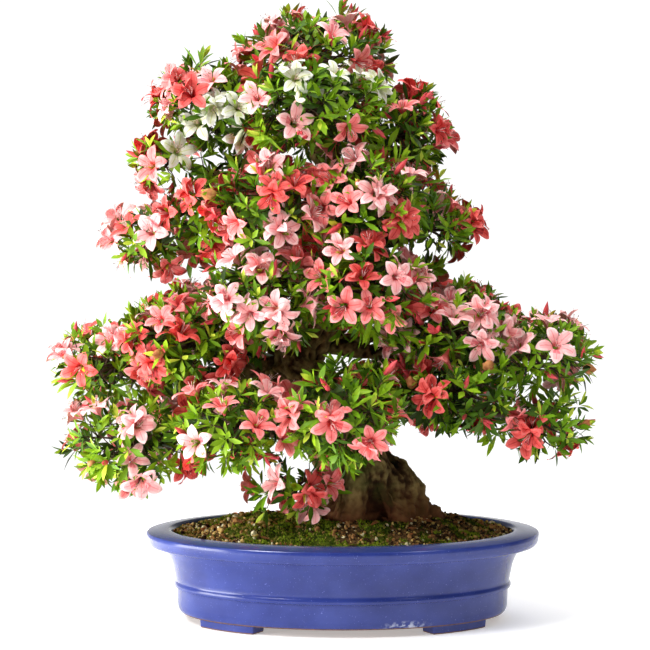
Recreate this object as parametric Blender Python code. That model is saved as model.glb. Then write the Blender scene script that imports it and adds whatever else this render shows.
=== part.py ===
"""Satsuki azalea bonsai in bloom, in an oval glazed pot.

Lengths are in metres and written as millimetres times MM. +Z is up, +X is the viewer's right and the
viewer stands on the -Y side. The origin lies on the table, under the middle of the whole plant.
The plant is a trunk, boughs that leave it, and masses of leaf and blossom that the boughs carry.
"""

import math
import random
from dataclasses import dataclass

import bmesh
import bpy
from mathutils import Matrix, Vector
from mathutils.bvhtree import BVHTree

MM = 0.001
UP = Vector((0, 0, 1))
DEPTH = Vector((0, 1, 0))
GOLDEN_ANGLE = math.pi * (3 - math.sqrt(5))

# Gaps between neighbouring solids
CLEARANCE = 0.3 * MM
CUT_CLEARANCE = 0.4 * MM
CELL_MARGIN = 0.6 * MM
LIMB_MARGIN = 0.5 * MM

# Pot: an oval bowl with a broad flat rim, a rib round its wall and four feet
POT_LENGTH = 466 * MM
POT_DEPTH = 336 * MM
POT_HEIGHT = 108 * MM
POT_CENTRE = Vector((21 * MM, 0, 0))
POT_SIDES = 32
RIM_WIDTH = 29 * MM
RIM_THICKNESS = 11 * MM
RIM_FALL = 3 * MM
FOOT_HEIGHT = 9 * MM
FLOOR_THICKNESS = 10 * MM
WALL_THICKNESS = 11 * MM
WALL_INSET = 37 * MM
BASE_INSET = 42 * MM
FLOOR_INSET = 58 * MM
RIB_HEIGHT = 43 * MM
RIB_PROUD = 4 * MM
FOOT_BEARING = 43
FOOT_SPAN = 31
FOOT_WIDTH = 22 * MM
DRAIN_RADIUS = 12 * MM
DRAIN_OFFSET = 75 * MM

# Soil: it fills the pot and rises to a level top, where the trunk stands
SOIL_TOP = 118 * MM
SOIL_EDGE = 106.5 * MM
PLATEAU_INSET = 92 * MM

# Trunk: its middle line is read from these stations of height, sideways place, depth place and radius
TRUNK_STATIONS = (
    (118, 50, 2, 52),
    (150, 50, 0, 51),
    (200, 35, -4, 47),
    (256, -10, -2, 40),
    (302, -44, 6, 35),
    (342, -16, 10, 31),
    (392, 12, 4, 27),
    (452, 2, -6, 22),
    (515, 11, 0, 17),
    (580, -4, 5, 12.5),
    (628, -9, 0, 9),
)
TRUNK_SIDES = 26
TRUNK_RINGS = 20
# Surface roots: bearing in degrees from the viewer's right, reach beyond the trunk, half width in degrees
ROOTS = (
    (-8, 46, 20),
    (-58, 22, 15),
    (-104, 20, 12),
    (-146, 18, 14),
    (176, 34, 22),
    (122, 24, 20),
    (48, 28, 20),
)
ROOT_DECAY = 30 * MM

# Boughs and stems
LIMB_SIDES = 6
LIMB_RINGS = 6
COLLAR = 1.25
ENTRY_SHARE = 0.92
STEM_END = 0.97

# Foliage
FOLIAGE = "foliage_in_bloom"
CORE_SHARE = 0.76
CORE_LUMP = 0.08
HEAD_SHARE = 0.86
HEAD_SPACING = 67 * MM
HEAD_SIZES = (1.0, 0.8, 0.62)
HEAD_LIFT = 0.35
COVER_REACH = 60 * MM
TWIG_RADIUS = 2.4 * MM
WHORL_LEAVES = 5
LEAF_LENGTH = 32 * MM
WHORL_SEAT = 2.5 * MM
PETALS = 5
PETAL_LENGTH = 27 * MM
FLOWER_SEAT = 10 * MM
SOIL_MARGIN = 1.5 * MM

# Colours as linear red, green and blue, with roughness
FINISHES = {
    "glaze": ((0.075, 0.10, 0.42), 0.18),
    "moss": ((0.10, 0.12, 0.03), 0.95),
    "bark": ((0.13, 0.09, 0.055), 0.9),
    "foliage_in_bloom": ((0.10, 0.26, 0.035), 0.5),
}


@dataclass(frozen=True)
class Pad:
    """A mass of foliage: an ellipsoid of space, and the limb that carries it.

    place and size are the ellipsoid's middle and half axes in millimetres. joins is the height at which
    the limb leaves the trunk, and sag how far the limb hangs below the straight way, both in millimetres.
    """

    name: str
    place: tuple
    size: tuple
    joins: float
    sag: float
    limb: float
    bough: bool = True
    cored: bool = True
    bloom: float = 0.5

    @property
    def middle(self):
        return Vector(self.place) * MM

    @property
    def radii(self):
        return Vector(self.size) * MM

    def at(self, direction, share):
        """The point at this share of the ellipsoid's radius, in a direction from its middle."""
        return self.middle + Vector(r * d for r, d in zip(self.radii, direction)) * share

    def share_of(self, point):
        """How far out a point lies, from 0 at the middle to 1 on the ellipsoid."""
        offset = point - self.middle
        return Vector(o / r for o, r in zip(offset, self.radii)).length


PADS = (
    Pad("low_left", (-224, -48, 217), (80, 82, 64), 252, 4, 12, bloom=0.42),
    Pad("low_front_left", (-96, -126, 244), (80, 66, 60), 236, 16, 8, bloom=0.35),
    Pad("low_front", (14, -138, 258), (80, 64, 62), 226, 12, 8, bloom=0.4),
    Pad("low_right", (154, -66, 276), (86, 84, 52), 262, -6, 9, bloom=0.5),
    Pad("low_right_tip", (252, -42, 240), (60, 74, 50), 236, -14, 12, bloom=0.45),
    Pad("low_back_left", (-128, 122, 252), (98, 78, 56), 262, 8, 10),
    Pad("low_back_right", (122, 122, 268), (100, 78, 52), 232, 8, 10),
    Pad("wide_left_tip", (-252, -4, 303), (68, 84, 56), 305, 18, 12, bloom=0.5),
    Pad("wide_left", (-160, -42, 330), (84, 86, 58), 338, 6, 8, bloom=0.55),
    Pad("wide_right", (150, -44, 344), (82, 88, 54), 366, 2, 9, bloom=0.65),
    Pad("wide_right_tip", (246, -14, 316), (74, 90, 52), 330, 16, 11, bloom=0.65),
    Pad("wide_back_left", (-142, 114, 344), (96, 80, 52), 322, 10, 9),
    Pad("wide_back_right", (146, 116, 344), (96, 80, 52), 332, 10, 9),
    Pad("mid_front_left", (-66, -104, 386), (80, 68, 62), 362, 4, 7, bough=False, bloom=0.65),
    Pad("mid_front_right", (44, -106, 398), (76, 66, 62), 384, 2, 7, bough=False, bloom=0.6),
    Pad("mid_right", (90, 6, 416), (56, 84, 46), 396, 0, 6, bough=False, bloom=0.6),
    Pad("mid_back", (-4, 122, 408), (94, 68, 56), 378, 4, 8),
    Pad("upper_left_tip", (-204, -6, 450), (56, 70, 42), 424, 12, 8, bloom=0.6),
    Pad("upper_left", (-130, -22, 478), (70, 80, 56), 458, 2, 7, bloom=0.45),
    Pad("upper_front_left", (-60, -94, 490), (76, 66, 62), 472, 2, 6, bough=False, bloom=0.55),
    Pad("upper_front_right", (46, -92, 494), (74, 66, 62), 486, 2, 6, bough=False, bloom=0.7),
    Pad("upper_right", (126, -6, 464), (58, 78, 46), 446, 14, 9, bloom=0.6),
    Pad("upper_back_left", (-78, 96, 492), (82, 70, 58), 468, 2, 6, bough=False),
    Pad("upper_back_right", (76, 96, 494), (82, 70, 58), 478, 2, 6, bough=False),
    Pad("lobe_left", (-188, 0, 542), (50, 60, 36), 520, 10, 6, bloom=0.5),
    Pad("shoulder_left", (-124, -6, 606), (82, 82, 58), 566, 4, 6, bough=False, bloom=0.5),
    Pad("shoulder_front", (-14, -76, 602), (92, 64, 62), 578, 2, 5, bough=False, bloom=0.6),
    Pad("shoulder_right", (90, -4, 572), (58, 82, 62), 556, 2, 6, bough=False, bloom=0.6),
    Pad("shoulder_back", (-14, 78, 602), (92, 66, 58), 592, 2, 5, bough=False),
    Pad("apex", (-12, 0, 660), (96, 86, 58), 627, 0, 7, bough=False, bloom=0.55),
    Pad(
        "front_sprig", (-28, -88, 170), (46, 34, 46), 128, 0, 3,
        bough=False, cored=False, bloom=0.6,
    ),
)


def clear_scene():
    for old in list(bpy.data.objects):
        bpy.data.objects.remove(old)


def finish(name):
    """The material of that name, made the first time it is asked for."""
    made = bpy.data.materials.get(name)
    if made:
        return made
    colour, roughness = FINISHES[name]
    made = bpy.data.materials.new(name)
    made.use_nodes = True
    made.diffuse_color = (*colour, 1)
    shader = made.node_tree.nodes["Principled BSDF"]
    shader.inputs["Base Color"].default_value = (*colour, 1)
    shader.inputs["Roughness"].default_value = roughness
    shader.inputs["Metallic"].default_value = 0.0
    return made


def link(name, mesh, finish_name, collection=None):
    """A new object of this mesh with its finish, in the scene or in a collection of its own."""
    if not mesh.materials:
        mesh.materials.append(finish(finish_name))
    made = bpy.data.objects.new(name, mesh)
    (collection or bpy.context.scene.collection).objects.link(made)
    return made


def lofted(name, rings):
    """A closed mesh through rings of points, with a flat cap on the first and on the last."""
    bm = bmesh.new()
    loops = [[bm.verts.new(p) for p in ring] for ring in rings]
    count = len(loops[0])
    for lower, upper in zip(loops, loops[1:]):
        for i in range(count):
            k = (i + 1) % count
            bm.faces.new((lower[i], lower[k], upper[k]))
            bm.faces.new((lower[i], upper[k], upper[i]))
    bm.faces.new(reversed(loops[0]))
    bm.faces.new(loops[-1])
    bmesh.ops.recalc_face_normals(bm, faces=bm.faces)
    mesh = bpy.data.meshes.new(name)
    bm.to_mesh(mesh)
    bm.free()
    return mesh


def smooth_sides(obj, angle):
    obj.data.shade_smooth()
    obj.data.set_sharp_from_angle(angle=math.radians(angle))


def is_closed(mesh):
    """Whether a mesh has faces, and every edge of it lies between two of them."""
    bm = bmesh.new()
    bm.from_mesh(mesh)
    closed = bool(bm.faces) and all(edge.is_manifold for edge in bm.edges)
    bm.free()
    return closed


def apply_boolean(obj, operation, other=None, collection=None):
    """Joins to, or cuts from, obj another object or all of a collection, and applies it.

    The exact solver goes first. Where it leaves nothing, or a surface that is open, the manifold solver
    does the same work.
    """
    modifier = obj.modifiers.new("join", "BOOLEAN")
    modifier.operation = operation
    if collection:
        modifier.operand_type = "COLLECTION"
        modifier.collection = collection
    else:
        modifier.object = other
    for solver in ("EXACT", "MANIFOLD"):
        modifier.solver = solver
        bpy.context.view_layer.update()
        graph = bpy.context.evaluated_depsgraph_get()
        made = bpy.data.meshes.new_from_object(obj.evaluated_get(graph))
        if is_closed(made):
            break
    obj.modifiers.clear()
    obj.data = made


def oval_ring(inset, height, bearings=None):
    """Points round the pot at this distance inside the rim's outer edge."""
    bearings = bearings or [360 * i / POT_SIDES for i in range(POT_SIDES)]
    long_half, short_half = POT_LENGTH / 2 - inset, POT_DEPTH / 2 - inset
    return [
        POT_CENTRE
        + Vector(
            (
                long_half * math.cos(math.radians(b)),
                short_half * math.sin(math.radians(b)),
                height,
            )
        )
        for b in bearings
    ]


def pot_outer_profile():
    """Inset and height of the outside, from the edge of the base to the outer edge of the rim."""
    rim_edge = POT_HEIGHT - RIM_FALL
    rim_foot = rim_edge - RIM_THICKNESS + 2 * MM
    upper_wall = WALL_INSET - 2.5 * MM
    return [
        (BASE_INSET, FOOT_HEIGHT),
        (WALL_INSET + 1 * MM, FOOT_HEIGHT + 5 * MM),
        (WALL_INSET, RIB_HEIGHT - 5 * MM),
        (WALL_INSET - RIB_PROUD, RIB_HEIGHT - 3 * MM),
        (WALL_INSET - RIB_PROUD, RIB_HEIGHT + 2 * MM),
        (upper_wall, RIB_HEIGHT + 5 * MM),
        (upper_wall - 9 * MM, POT_HEIGHT - 26 * MM),
        (upper_wall - 15 * MM, POT_HEIGHT - 20 * MM),
        (upper_wall - 17 * MM, rim_foot - 1.5 * MM),
        (2 * MM, rim_foot),
        (0, rim_foot + 3 * MM),
        (0, rim_edge - 2 * MM),
        (2.5 * MM, rim_edge),
    ]


def pot_inner_profile(gap=0.0):
    """Inset and height of the inside, from the rim's inner edge to the floor, a gap inside the wall."""
    floor = FOOT_HEIGHT + FLOOR_THICKNESS
    return [
        (RIM_WIDTH + 2 * MM + gap, POT_HEIGHT - 2.5 * MM),
        (RIM_WIDTH + 13 * MM + gap, POT_HEIGHT - 40 * MM),
        (WALL_INSET + WALL_THICKNESS + gap, floor + 14 * MM),
        (FLOOR_INSET + gap, floor + gap),
    ]


def foot_mesh(bearing):
    """A low curved foot under the base, on an arc about this bearing."""
    steps = 4
    arc = [bearing - FOOT_SPAN / 2 + FOOT_SPAN * i / steps for i in range(steps + 1)]
    top = FOOT_HEIGHT + 3 * MM
    rings = [
        oval_ring(BASE_INSET + 1 * MM, z, arc) + oval_ring(BASE_INSET + FOOT_WIDTH, z, arc[::-1])
        for z in (0, top)
    ]
    return lofted("foot", rings)


def build_pot():
    profile = pot_outer_profile() + [(RIM_WIDTH, POT_HEIGHT)] + pot_inner_profile()
    pot = link("pot", lofted("pot", [oval_ring(i, z) for i, z in profile]), "glaze")
    feet = bpy.data.collections.new("feet")
    for quarter in (FOOT_BEARING, 180 - FOOT_BEARING, 180 + FOOT_BEARING, 360 - FOOT_BEARING):
        link("foot", foot_mesh(quarter), "glaze", feet)
    bpy.context.scene.collection.children.link(feet)
    apply_boolean(pot, "UNION", collection=feet)
    drop_collection(feet)
    for side in (-1, 1):
        drain = drain_cutter(side)
        apply_boolean(pot, "DIFFERENCE", other=drain)
        bpy.data.objects.remove(drain)
    smooth_sides(pot, 35)


def drain_cutter(side):
    """A round bar through the floor, for a drain hole on that side of the middle."""
    bm = bmesh.new()
    bmesh.ops.create_cone(
        bm,
        segments=12,
        radius1=DRAIN_RADIUS,
        radius2=DRAIN_RADIUS,
        depth=4 * FLOOR_THICKNESS,
        cap_ends=True,
        matrix=Matrix.Translation(POT_CENTRE + Vector((side * DRAIN_OFFSET, 0, FOOT_HEIGHT))),
    )
    mesh = bpy.data.meshes.new("drain")
    bm.to_mesh(mesh)
    bm.free()
    cutter = link("drain", mesh, "glaze")
    cutter.hide_render = True
    cutter.display_type = "WIRE"
    return cutter


def build_soil():
    wall = list(reversed(pot_inner_profile(CLEARANCE)))
    edge_inset = RIM_WIDTH + 2 * MM + CLEARANCE
    mound = [
        (edge_inset + 1 * MM, SOIL_EDGE),
        (edge_inset + 12 * MM, SOIL_EDGE + 4 * MM),
        ((edge_inset + PLATEAU_INSET) / 2, SOIL_TOP - 3 * MM),
        (PLATEAU_INSET, SOIL_TOP),
    ]
    rings = [oval_ring(i, z) for i, z in wall + mound]
    soil = link("soil", lofted("soil", rings), "moss")
    smooth_sides(soil, 60)


def between(stations, height):
    """The trunk's middle line and radius at a height, on a smooth curve through the stations."""
    rows = [Vector((x, y, z, r)) * MM for z, x, y, r in stations]
    last = len(rows) - 1
    height = min(max(height, rows[0].z), rows[last].z)
    k = max(i for i in range(last) if rows[i].z <= height)
    a, b = rows[k], rows[k + 1]
    before, after = rows[max(k - 1, 0)], rows[min(k + 2, last)]
    t = (height - a.z) / (b.z - a.z)
    slope_a = (b - before) * ((b.z - a.z) / (b.z - before.z))
    slope_b = (after - a) * ((b.z - a.z) / (after.z - a.z))
    found = (
        a * (2 * t**3 - 3 * t**2 + 1)
        + slope_a * (t**3 - 2 * t**2 + t)
        + b * (3 * t**2 - 2 * t**3)
        + slope_b * (t**3 - t**2)
    )
    return Vector((found.x, found.y, height)), found.w


def trunk_point(height):
    return between(TRUNK_STATIONS, height)[0]


def root_swell(bearing, above_ground):
    """How far the surface roots push the trunk out at this bearing and height over the ground."""
    swell = 0.0
    for middle, reach, half_width in ROOTS:
        away = (bearing - middle + 180) % 360 - 180
        swell += reach * MM * math.exp(-((away / half_width) ** 2))
    return swell * math.exp(-above_ground / ROOT_DECAY)


def trunk_ring(height, ground, grow=0.0):
    """A ring of the trunk, level at the ground and square to the trunk above it."""
    middle, radius = between(TRUNK_STATIONS, height)
    step = 2 * MM
    along = (trunk_point(height + step) - trunk_point(height - step)).normalized()
    lean = min(1.0, (height - ground) / (40 * MM))
    along = UP.lerp(along, lean).normalized()
    side = DEPTH.cross(along).normalized()
    deep = along.cross(side)
    ring = []
    for i in range(TRUNK_SIDES):
        turn = 2 * math.pi * i / TRUNK_SIDES
        muscle = 1 + 0.05 * math.sin(3 * turn + height * 40) + 0.03 * math.sin(5 * turn - height * 60)
        reach = radius * muscle + root_swell(math.degrees(turn), height - ground) + grow
        ring.append(middle + side * reach * math.cos(turn) + deep * reach * math.sin(turn))
    return ring


def trunk_mesh(grow=0.0):
    """The trunk, or a copy that is larger all round by grow, from its flat foot to its tip."""
    ground = SOIL_TOP + CLEARANCE
    top = TRUNK_STATIONS[-1][0] * MM
    heights = [ground + (top - ground) * (i / TRUNK_RINGS) ** 1.15 for i in range(TRUNK_RINGS + 1)]
    rings = [trunk_ring(h, ground, grow) for h in heights]
    if grow:
        rings.insert(0, [p - UP * 10 * MM for p in rings[0]])
        rings.append([p + UP * grow for p in rings[-1]])
    return lofted("trunk", rings)


class Limb:
    """The way from the trunk to the middle of a pad, and the tubes along it."""

    def __init__(self, pad):
        self.pad = pad
        self.start = trunk_point(pad.joins * MM)
        self.end = pad.middle
        if pad.name == "apex":
            self.start = trunk_point(TRUNK_STATIONS[-1][0] * MM) - UP * 2 * MM
        way = self.end - self.start
        self.first = self.start + way * 0.38 - UP * pad.sag * MM + DEPTH * 0.05 * way.x
        self.second = self.start + way * 0.74 - UP * pad.sag * 1.2 * MM - DEPTH * 0.03 * way.x
        self.thick = pad.limb * MM
        self.entry = self.where_it_enters()

    def point(self, t):
        """A cubic curve through the start, two guides and the end."""
        s = 1 - t
        return (
            self.start * s**3
            + self.first * 3 * s * s * t
            + self.second * 3 * s * t * t
            + self.end * t**3
        )

    def along(self, t):
        step = 0.01
        return (self.point(min(t + step, 1)) - self.point(max(t - step, 0))).normalized()

    def radius(self, t):
        """It tapers to under half, from a collar where it leaves the trunk."""
        return self.thick * ((1 - 0.6 * t) + (COLLAR - 1) * math.exp(-9 * t))

    def where_it_enters(self):
        steps = 200
        for i in range(steps):
            if self.pad.share_of(self.point(i / steps)) <= ENTRY_SHARE:
                return i / steps
        return 1.0

    def tube(self, t_from, t_to, shift=0.0, rings=LIMB_RINGS, grow=0.0):
        """A tapering tube along the way, its first end moved forward by shift."""
        made = []
        for i in range(rings):
            t = t_from + (t_to - t_from) * i / (rings - 1)
            along = self.along(t)
            side = along.cross(UP if abs(along.z) < 0.9 else DEPTH).normalized()
            deep = along.cross(side)
            middle = self.point(t) + along * (shift if i == 0 else 0)
            reach = self.radius(t) + grow
            turns = [2 * math.pi * k / LIMB_SIDES for k in range(LIMB_SIDES)]
            made.append([middle + (side * math.cos(a) + deep * math.sin(a)) * reach for a in turns])
        return lofted("limb", made)

    def stem_mesh(self, grow=0.0):
        """The stem inside the mass, which starts at the bough's tip, or at the trunk with no bough."""
        if self.pad.bough:
            return self.tube(self.entry, STEM_END, shift=CLEARANCE - 2 * grow, rings=4, grow=grow)
        return self.tube(0.0, STEM_END, rings=7, grow=grow)

    def bough_mesh(self, grow=0.0):
        return self.tube(0.0, self.entry, grow=grow)

    def meshes(self, grow=0.0):
        """The bough, if there is one, and the stem, or copies that are thicker by grow."""
        return [self.bough_mesh(grow), self.stem_mesh(grow)] if self.pad.bough else [self.stem_mesh(grow)]

    def nearest(self, place):
        """The point of the stem from which a twig to this place leaves: a little before the nearest."""
        start = self.entry + (STEM_END - self.entry) * 0.35
        ways = [self.point(start + (STEM_END - start) * i / 8) for i in range(9)]
        k = min(range(9), key=lambda i: (ways[i] - place).length)
        return ways[max(k - 1, 0)]


def even_directions(count, turn):
    """Directions spread evenly over a sphere, on a golden spiral that starts at this turn."""
    for i in range(count):
        z = 1 - (2 * i + 1) / count
        flat = math.sqrt(1 - z * z)
        angle = turn + i * GOLDEN_ANGLE
        yield Vector((flat * math.cos(angle), flat * math.sin(angle), z))


def star_mesh(name, outline, front, back):
    """A thin closed star: an outline round an axis, with a middle point before it and one behind."""
    bm = bmesh.new()
    edge = [bm.verts.new(p) for p in outline]
    tip, root = bm.verts.new(front), bm.verts.new(back)
    for i, corner in enumerate(edge):
        following = edge[(i + 1) % len(edge)]
        bm.faces.new((tip, corner, following))
        bm.faces.new((root, following, corner))
    bmesh.ops.recalc_face_normals(bm, faces=bm.faces)
    mesh = bpy.data.meshes.new(name)
    bm.to_mesh(mesh)
    bm.free()
    return mesh


def polar(radius, degrees, height):
    turn = math.radians(degrees)
    return Vector((radius * math.cos(turn), radius * math.sin(turn), height))


def leaf_star():
    """A whorl of pointed leaves round a shoot's tip, that rise a little towards their points."""
    outline = []
    step = 360 / WHORL_LEAVES
    for i in range(WHORL_LEAVES):
        outline.append(polar(LEAF_LENGTH, i * step, LEAF_LENGTH * 0.22))
        outline.append(polar(LEAF_LENGTH * 0.3, (i + 0.5) * step, 0))
    return star_mesh("leaf_whorl", outline, Vector((0, 0, 3 * MM)), Vector((0, 0, -8 * MM)))


def flower_star():
    """An open funnel flower: petals round a throat that runs back into a tube."""
    outline = []
    step = 360 / PETALS
    for i in range(PETALS):
        outline.append(polar(PETAL_LENGTH, i * step, 5 * MM))
        outline.append(polar(PETAL_LENGTH * 0.56, (i + 0.5) * step, 1 * MM))
    return star_mesh("flower", outline, Vector((0, 0, -5 * MM)), Vector((0, 0, -16 * MM)))


def twig_mesh(start, end):
    """A three-sided twig from one point to another, that tapers to under half."""
    along = end - start
    place = Matrix.Translation((start + end) / 2) @ along.to_track_quat("Z", "Y").to_matrix().to_4x4()
    bm = bmesh.new()
    bmesh.ops.create_cone(
        bm,
        segments=3,
        radius1=TWIG_RADIUS,
        radius2=TWIG_RADIUS * 0.45,
        depth=along.length,
        cap_ends=True,
        matrix=place,
    )
    mesh = bpy.data.meshes.new("twig")
    bm.to_mesh(mesh)
    bm.free()
    return mesh


def facing(place, axis, turn):
    """The matrix that sets a whorl or a flower at a place, looking along an axis."""
    quaternion = axis.to_track_quat("Z", "Y")
    return Matrix.Translation(place) @ quaternion.to_matrix().to_4x4() @ Matrix.Rotation(turn, 4, "Z")


class Cell:
    """The convex space that one pad keeps to, bounded by a plane towards each other pad."""

    def __init__(self, pad, others):
        self.middle = pad.middle
        self.planes = []
        for other in others:
            if other is pad:
                continue
            away = other.middle - pad.middle
            normal = Vector(
                a / (p * p + q * q) for a, p, q in zip(away, pad.radii, other.radii)
            ).normalized()
            own = self.reach(normal, pad.radii)
            theirs = self.reach(normal, other.radii)
            self.planes.append((normal, normal.dot(away) * own / (own + theirs) - CELL_MARGIN))

    @staticmethod
    def reach(normal, radii):
        """How far an ellipsoid reaches along a direction."""
        return Vector(n * r for n, r in zip(normal, radii)).length

    def holds(self, point):
        """Whether a point is in the cell, and above the soil."""
        offset = point - self.middle
        if point.z < SOIL_TOP + SOIL_MARGIN:
            return False
        return all(normal.dot(offset) <= limit for normal, limit in self.planes)

    def pulled_in(self, offset):
        """An offset from the middle, shortened until it is in the cell."""
        share = 1.0
        for normal, limit in self.planes:
            reach = normal.dot(offset)
            if reach > limit:
                share = min(share, limit / reach)
        return offset * share


class Obstacles:
    """The surfaces of the trunk, the boughs and the other stems, which foliage keeps clear of."""

    def __init__(self, meshes):
        points, faces = [], []
        for mesh in meshes:
            first = len(points)
            points += [v.co.copy() for v in mesh.vertices]
            faces += [[first + i for i in polygon.vertices] for polygon in mesh.polygons]
        self.tree = BVHTree.FromPolygons(points, faces)

    def clear_of(self, points, faces):
        """Whether a shape of these points and faces neither crosses nor nearly touches a limb."""
        if self.tree.overlap(BVHTree.FromPolygons(points, faces)):
            return False
        return all(self.tree.find_nearest(point)[3] > LIMB_MARGIN for point in points)


def placed(mesh, matrix):
    """The points and faces of a mesh under a matrix."""
    return [matrix @ v.co for v in mesh.vertices], [list(p.vertices) for p in mesh.polygons]


def core_mesh(pad, cell, rng):
    """The dense middle of a mass: a lumpy ellipsoid, pulled in where it would leave its cell."""
    bm = bmesh.new()
    bmesh.ops.create_icosphere(bm, subdivisions=1, radius=1)
    for vertex in bm.verts:
        share = CORE_SHARE * (1 + CORE_LUMP * rng.uniform(-1, 1))
        vertex.co = pad.middle + cell.pulled_in(pad.at(vertex.co, share) - pad.middle)
    mesh = bpy.data.meshes.new("core")
    bm.to_mesh(mesh)
    bm.free()
    return mesh


class Mass:
    """One mass of foliage, grown by rule from its stem and fused into one solid."""

    def __init__(self, limb, limbs, wood, seed):
        self.limb, self.pad = limb, limb.pad
        self.cell = Cell(self.pad, PADS)
        self.others = [other for other in limbs if other is not limb]
        stems = [other.stem_mesh() for other in self.others]
        self.obstacles = Obstacles(wood + stems)
        self.whorl, self.flower = leaf_star(), flower_star()
        self.rng = random.Random(seed)
        self.kit = bpy.data.collections.new(f"kit_{self.pad.name}")
        bpy.context.scene.collection.children.link(self.kit)

    def fits(self, points, faces):
        return all(self.cell.holds(p) for p in points) and self.obstacles.clear_of(points, faces)

    def head_count(self):
        """How many heads are tried for, from the surface of the ellipsoid."""
        a, b, c = self.pad.radii
        power = 1.6
        sides = [(a * b) ** power, (a * c) ** power, (b * c) ** power]
        surface = 4 * math.pi * (sum(sides) / 3) ** (1 / power)
        return max(5, round(surface / HEAD_SPACING**2))

    def covered(self, place, outward):
        """Whether other foliage lies close in front of a place, so that a head there wouldn't show."""
        ahead = place + outward * COVER_REACH
        return any(other.share_of(ahead) < 1 for other in PADS if other is not self.pad)

    def grow(self):
        """Twigs that leave the stem all round, each with a whorl of leaves or a flower at its tip."""
        pad, rng = self.pad, self.rng
        for direction in even_directions(self.head_count(), rng.uniform(0, math.tau)):
            place = pad.at(direction, HEAD_SHARE)
            outward = Vector(d / r for d, r in zip(direction, pad.radii)).normalized()
            axis = (outward + UP * HEAD_LIFT).normalized()
            flowers = rng.random() < pad.bloom
            head, seat = (self.flower, FLOWER_SEAT) if flowers else (self.whorl, WHORL_SEAT)
            where = facing(place, axis, rng.uniform(0, math.tau))
            if not self.covered(place, outward):
                self.add_head(head, seat, where)

    def add_head(self, head, seat, where):
        """Adds a head and its twig at the largest size that fits, or not at all."""
        for size in HEAD_SIZES:
            matrix = where @ Matrix.Scale(size, 4)
            root = matrix @ Vector((0, 0, -seat))
            twig = twig_mesh(self.limb.nearest(root), root)
            if self.fits(*placed(head, matrix)) and self.fits(*placed(twig, Matrix.Identity(4))):
                link("twig", twig, FOLIAGE, self.kit)
                link("head", head, FOLIAGE, self.kit).matrix_world = matrix
                return

    def cut_core(self, core):
        """Cuts the core clear of the trunk, of its own bough and of the limbs that pass it."""
        cutters = bpy.data.collections.new("cutters")
        bpy.context.scene.collection.children.link(cutters)
        tree = BVHTree.FromPolygons(*placed(core.data, Matrix.Identity(4)))
        meshes = [trunk_mesh(CUT_CLEARANCE)]
        for other in self.others:
            meshes += other.meshes(CUT_CLEARANCE)
        if self.pad.bough:
            meshes.append(self.limb.bough_mesh(CUT_CLEARANCE))
        for mesh in meshes:
            if tree.overlap(BVHTree.FromPolygons(*placed(mesh, Matrix.Identity(4)))):
                link("cutter", mesh, "bark", cutters)
        if cutters.objects:
            apply_boolean(core, "DIFFERENCE", collection=cutters)
            keep_shell(core)
        drop_collection(cutters)

    def fuse(self):
        """Joins core, stem, twigs and heads, and keeps the one outer shell of the result."""
        stem = self.limb.stem_mesh()
        if self.pad.cored:
            self.cut_core(link("core", core_mesh(self.pad, self.cell, self.rng), FOLIAGE, self.kit))
        mass = link(f"foliage_{self.pad.name}", stem, FOLIAGE)
        if not self.pad.bough:
            cutter = link("trunk_cutter", trunk_mesh(CUT_CLEARANCE), "bark")
            apply_boolean(mass, "DIFFERENCE", other=cutter)
            bpy.data.objects.remove(cutter)
            keep_shell(mass, near=self.pad.middle)
        apply_boolean(mass, "UNION", collection=self.kit)
        drop_collection(self.kit)
        keep_shell(mass)
        return mass


def drop_collection(collection):
    for member in list(collection.objects):
        bpy.data.objects.remove(member)
    bpy.data.collections.remove(collection)


def shells_of(bm):
    """The sets of faces of a mesh that hang together across edges."""
    unseen, shells = set(bm.faces), []
    while unseen:
        queue = [unseen.pop()]
        shell = set(queue)
        while queue:
            neighbours = {f for edge in queue.pop().edges for f in edge.link_faces} & unseen
            unseen -= neighbours
            shell |= neighbours
            queue += neighbours
        shells.append(shell)
    return shells


def keep_shell(obj, near=None):
    """Keeps the largest shell, or the one nearest a point, and so drops sealed hollows and scraps."""
    bm = bmesh.new()
    bm.from_mesh(obj.data)
    shells = shells_of(bm)
    if near:
        kept = min(shells, key=lambda s: min((f.calc_center_median() - near).length for f in s))
    else:
        kept = max(shells, key=len)
    bmesh.ops.delete(bm, geom=[f for f in bm.faces if f not in kept], context="FACES")
    bm.to_mesh(obj.data)
    bm.free()


def build_trunk():
    trunk = link("trunk", trunk_mesh(), "bark")
    smooth_sides(trunk, 60)
    return trunk


def build_boughs(limbs):
    """Each bough that carries a mass, cut clear of the trunk at its root."""
    cutter = link("trunk_cutter", trunk_mesh(CUT_CLEARANCE), "bark")
    boughs = []
    for limb in limbs:
        if limb.pad.bough:
            bough = link(f"bough_{limb.pad.name}", limb.bough_mesh(), "bark")
            apply_boolean(bough, "DIFFERENCE", other=cutter)
            keep_shell(bough, near=limb.point(limb.entry))
            smooth_sides(bough, 60)
            boughs.append(bough)
    bpy.data.objects.remove(cutter)
    return boughs


def build_foliage(limbs, trunk, boughs):
    wood = [trunk.data] + [bough.data for bough in boughs]
    for seed, limb in enumerate(limbs, start=11):
        mass = Mass(limb, limbs, wood, seed)
        mass.grow()
        mass.fuse()


def main():
    clear_scene()
    build_pot()
    build_soil()
    trunk = build_trunk()
    limbs = [Limb(pad) for pad in PADS]
    boughs = build_boughs(limbs)
    build_foliage(limbs, trunk, boughs)


main()
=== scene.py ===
"""Looks of a satsuki azalea bonsai in full bloom, in its oval glazed pot.

Lengths are in metres, +Z is up and the viewer stands on the -Y side. The pot, the soil and the wood
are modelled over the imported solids, and the crown grows from the limbs by the rule of the solids,
carried on to finer twigs, whorls of leaves, flowers and buds.
"""

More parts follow.
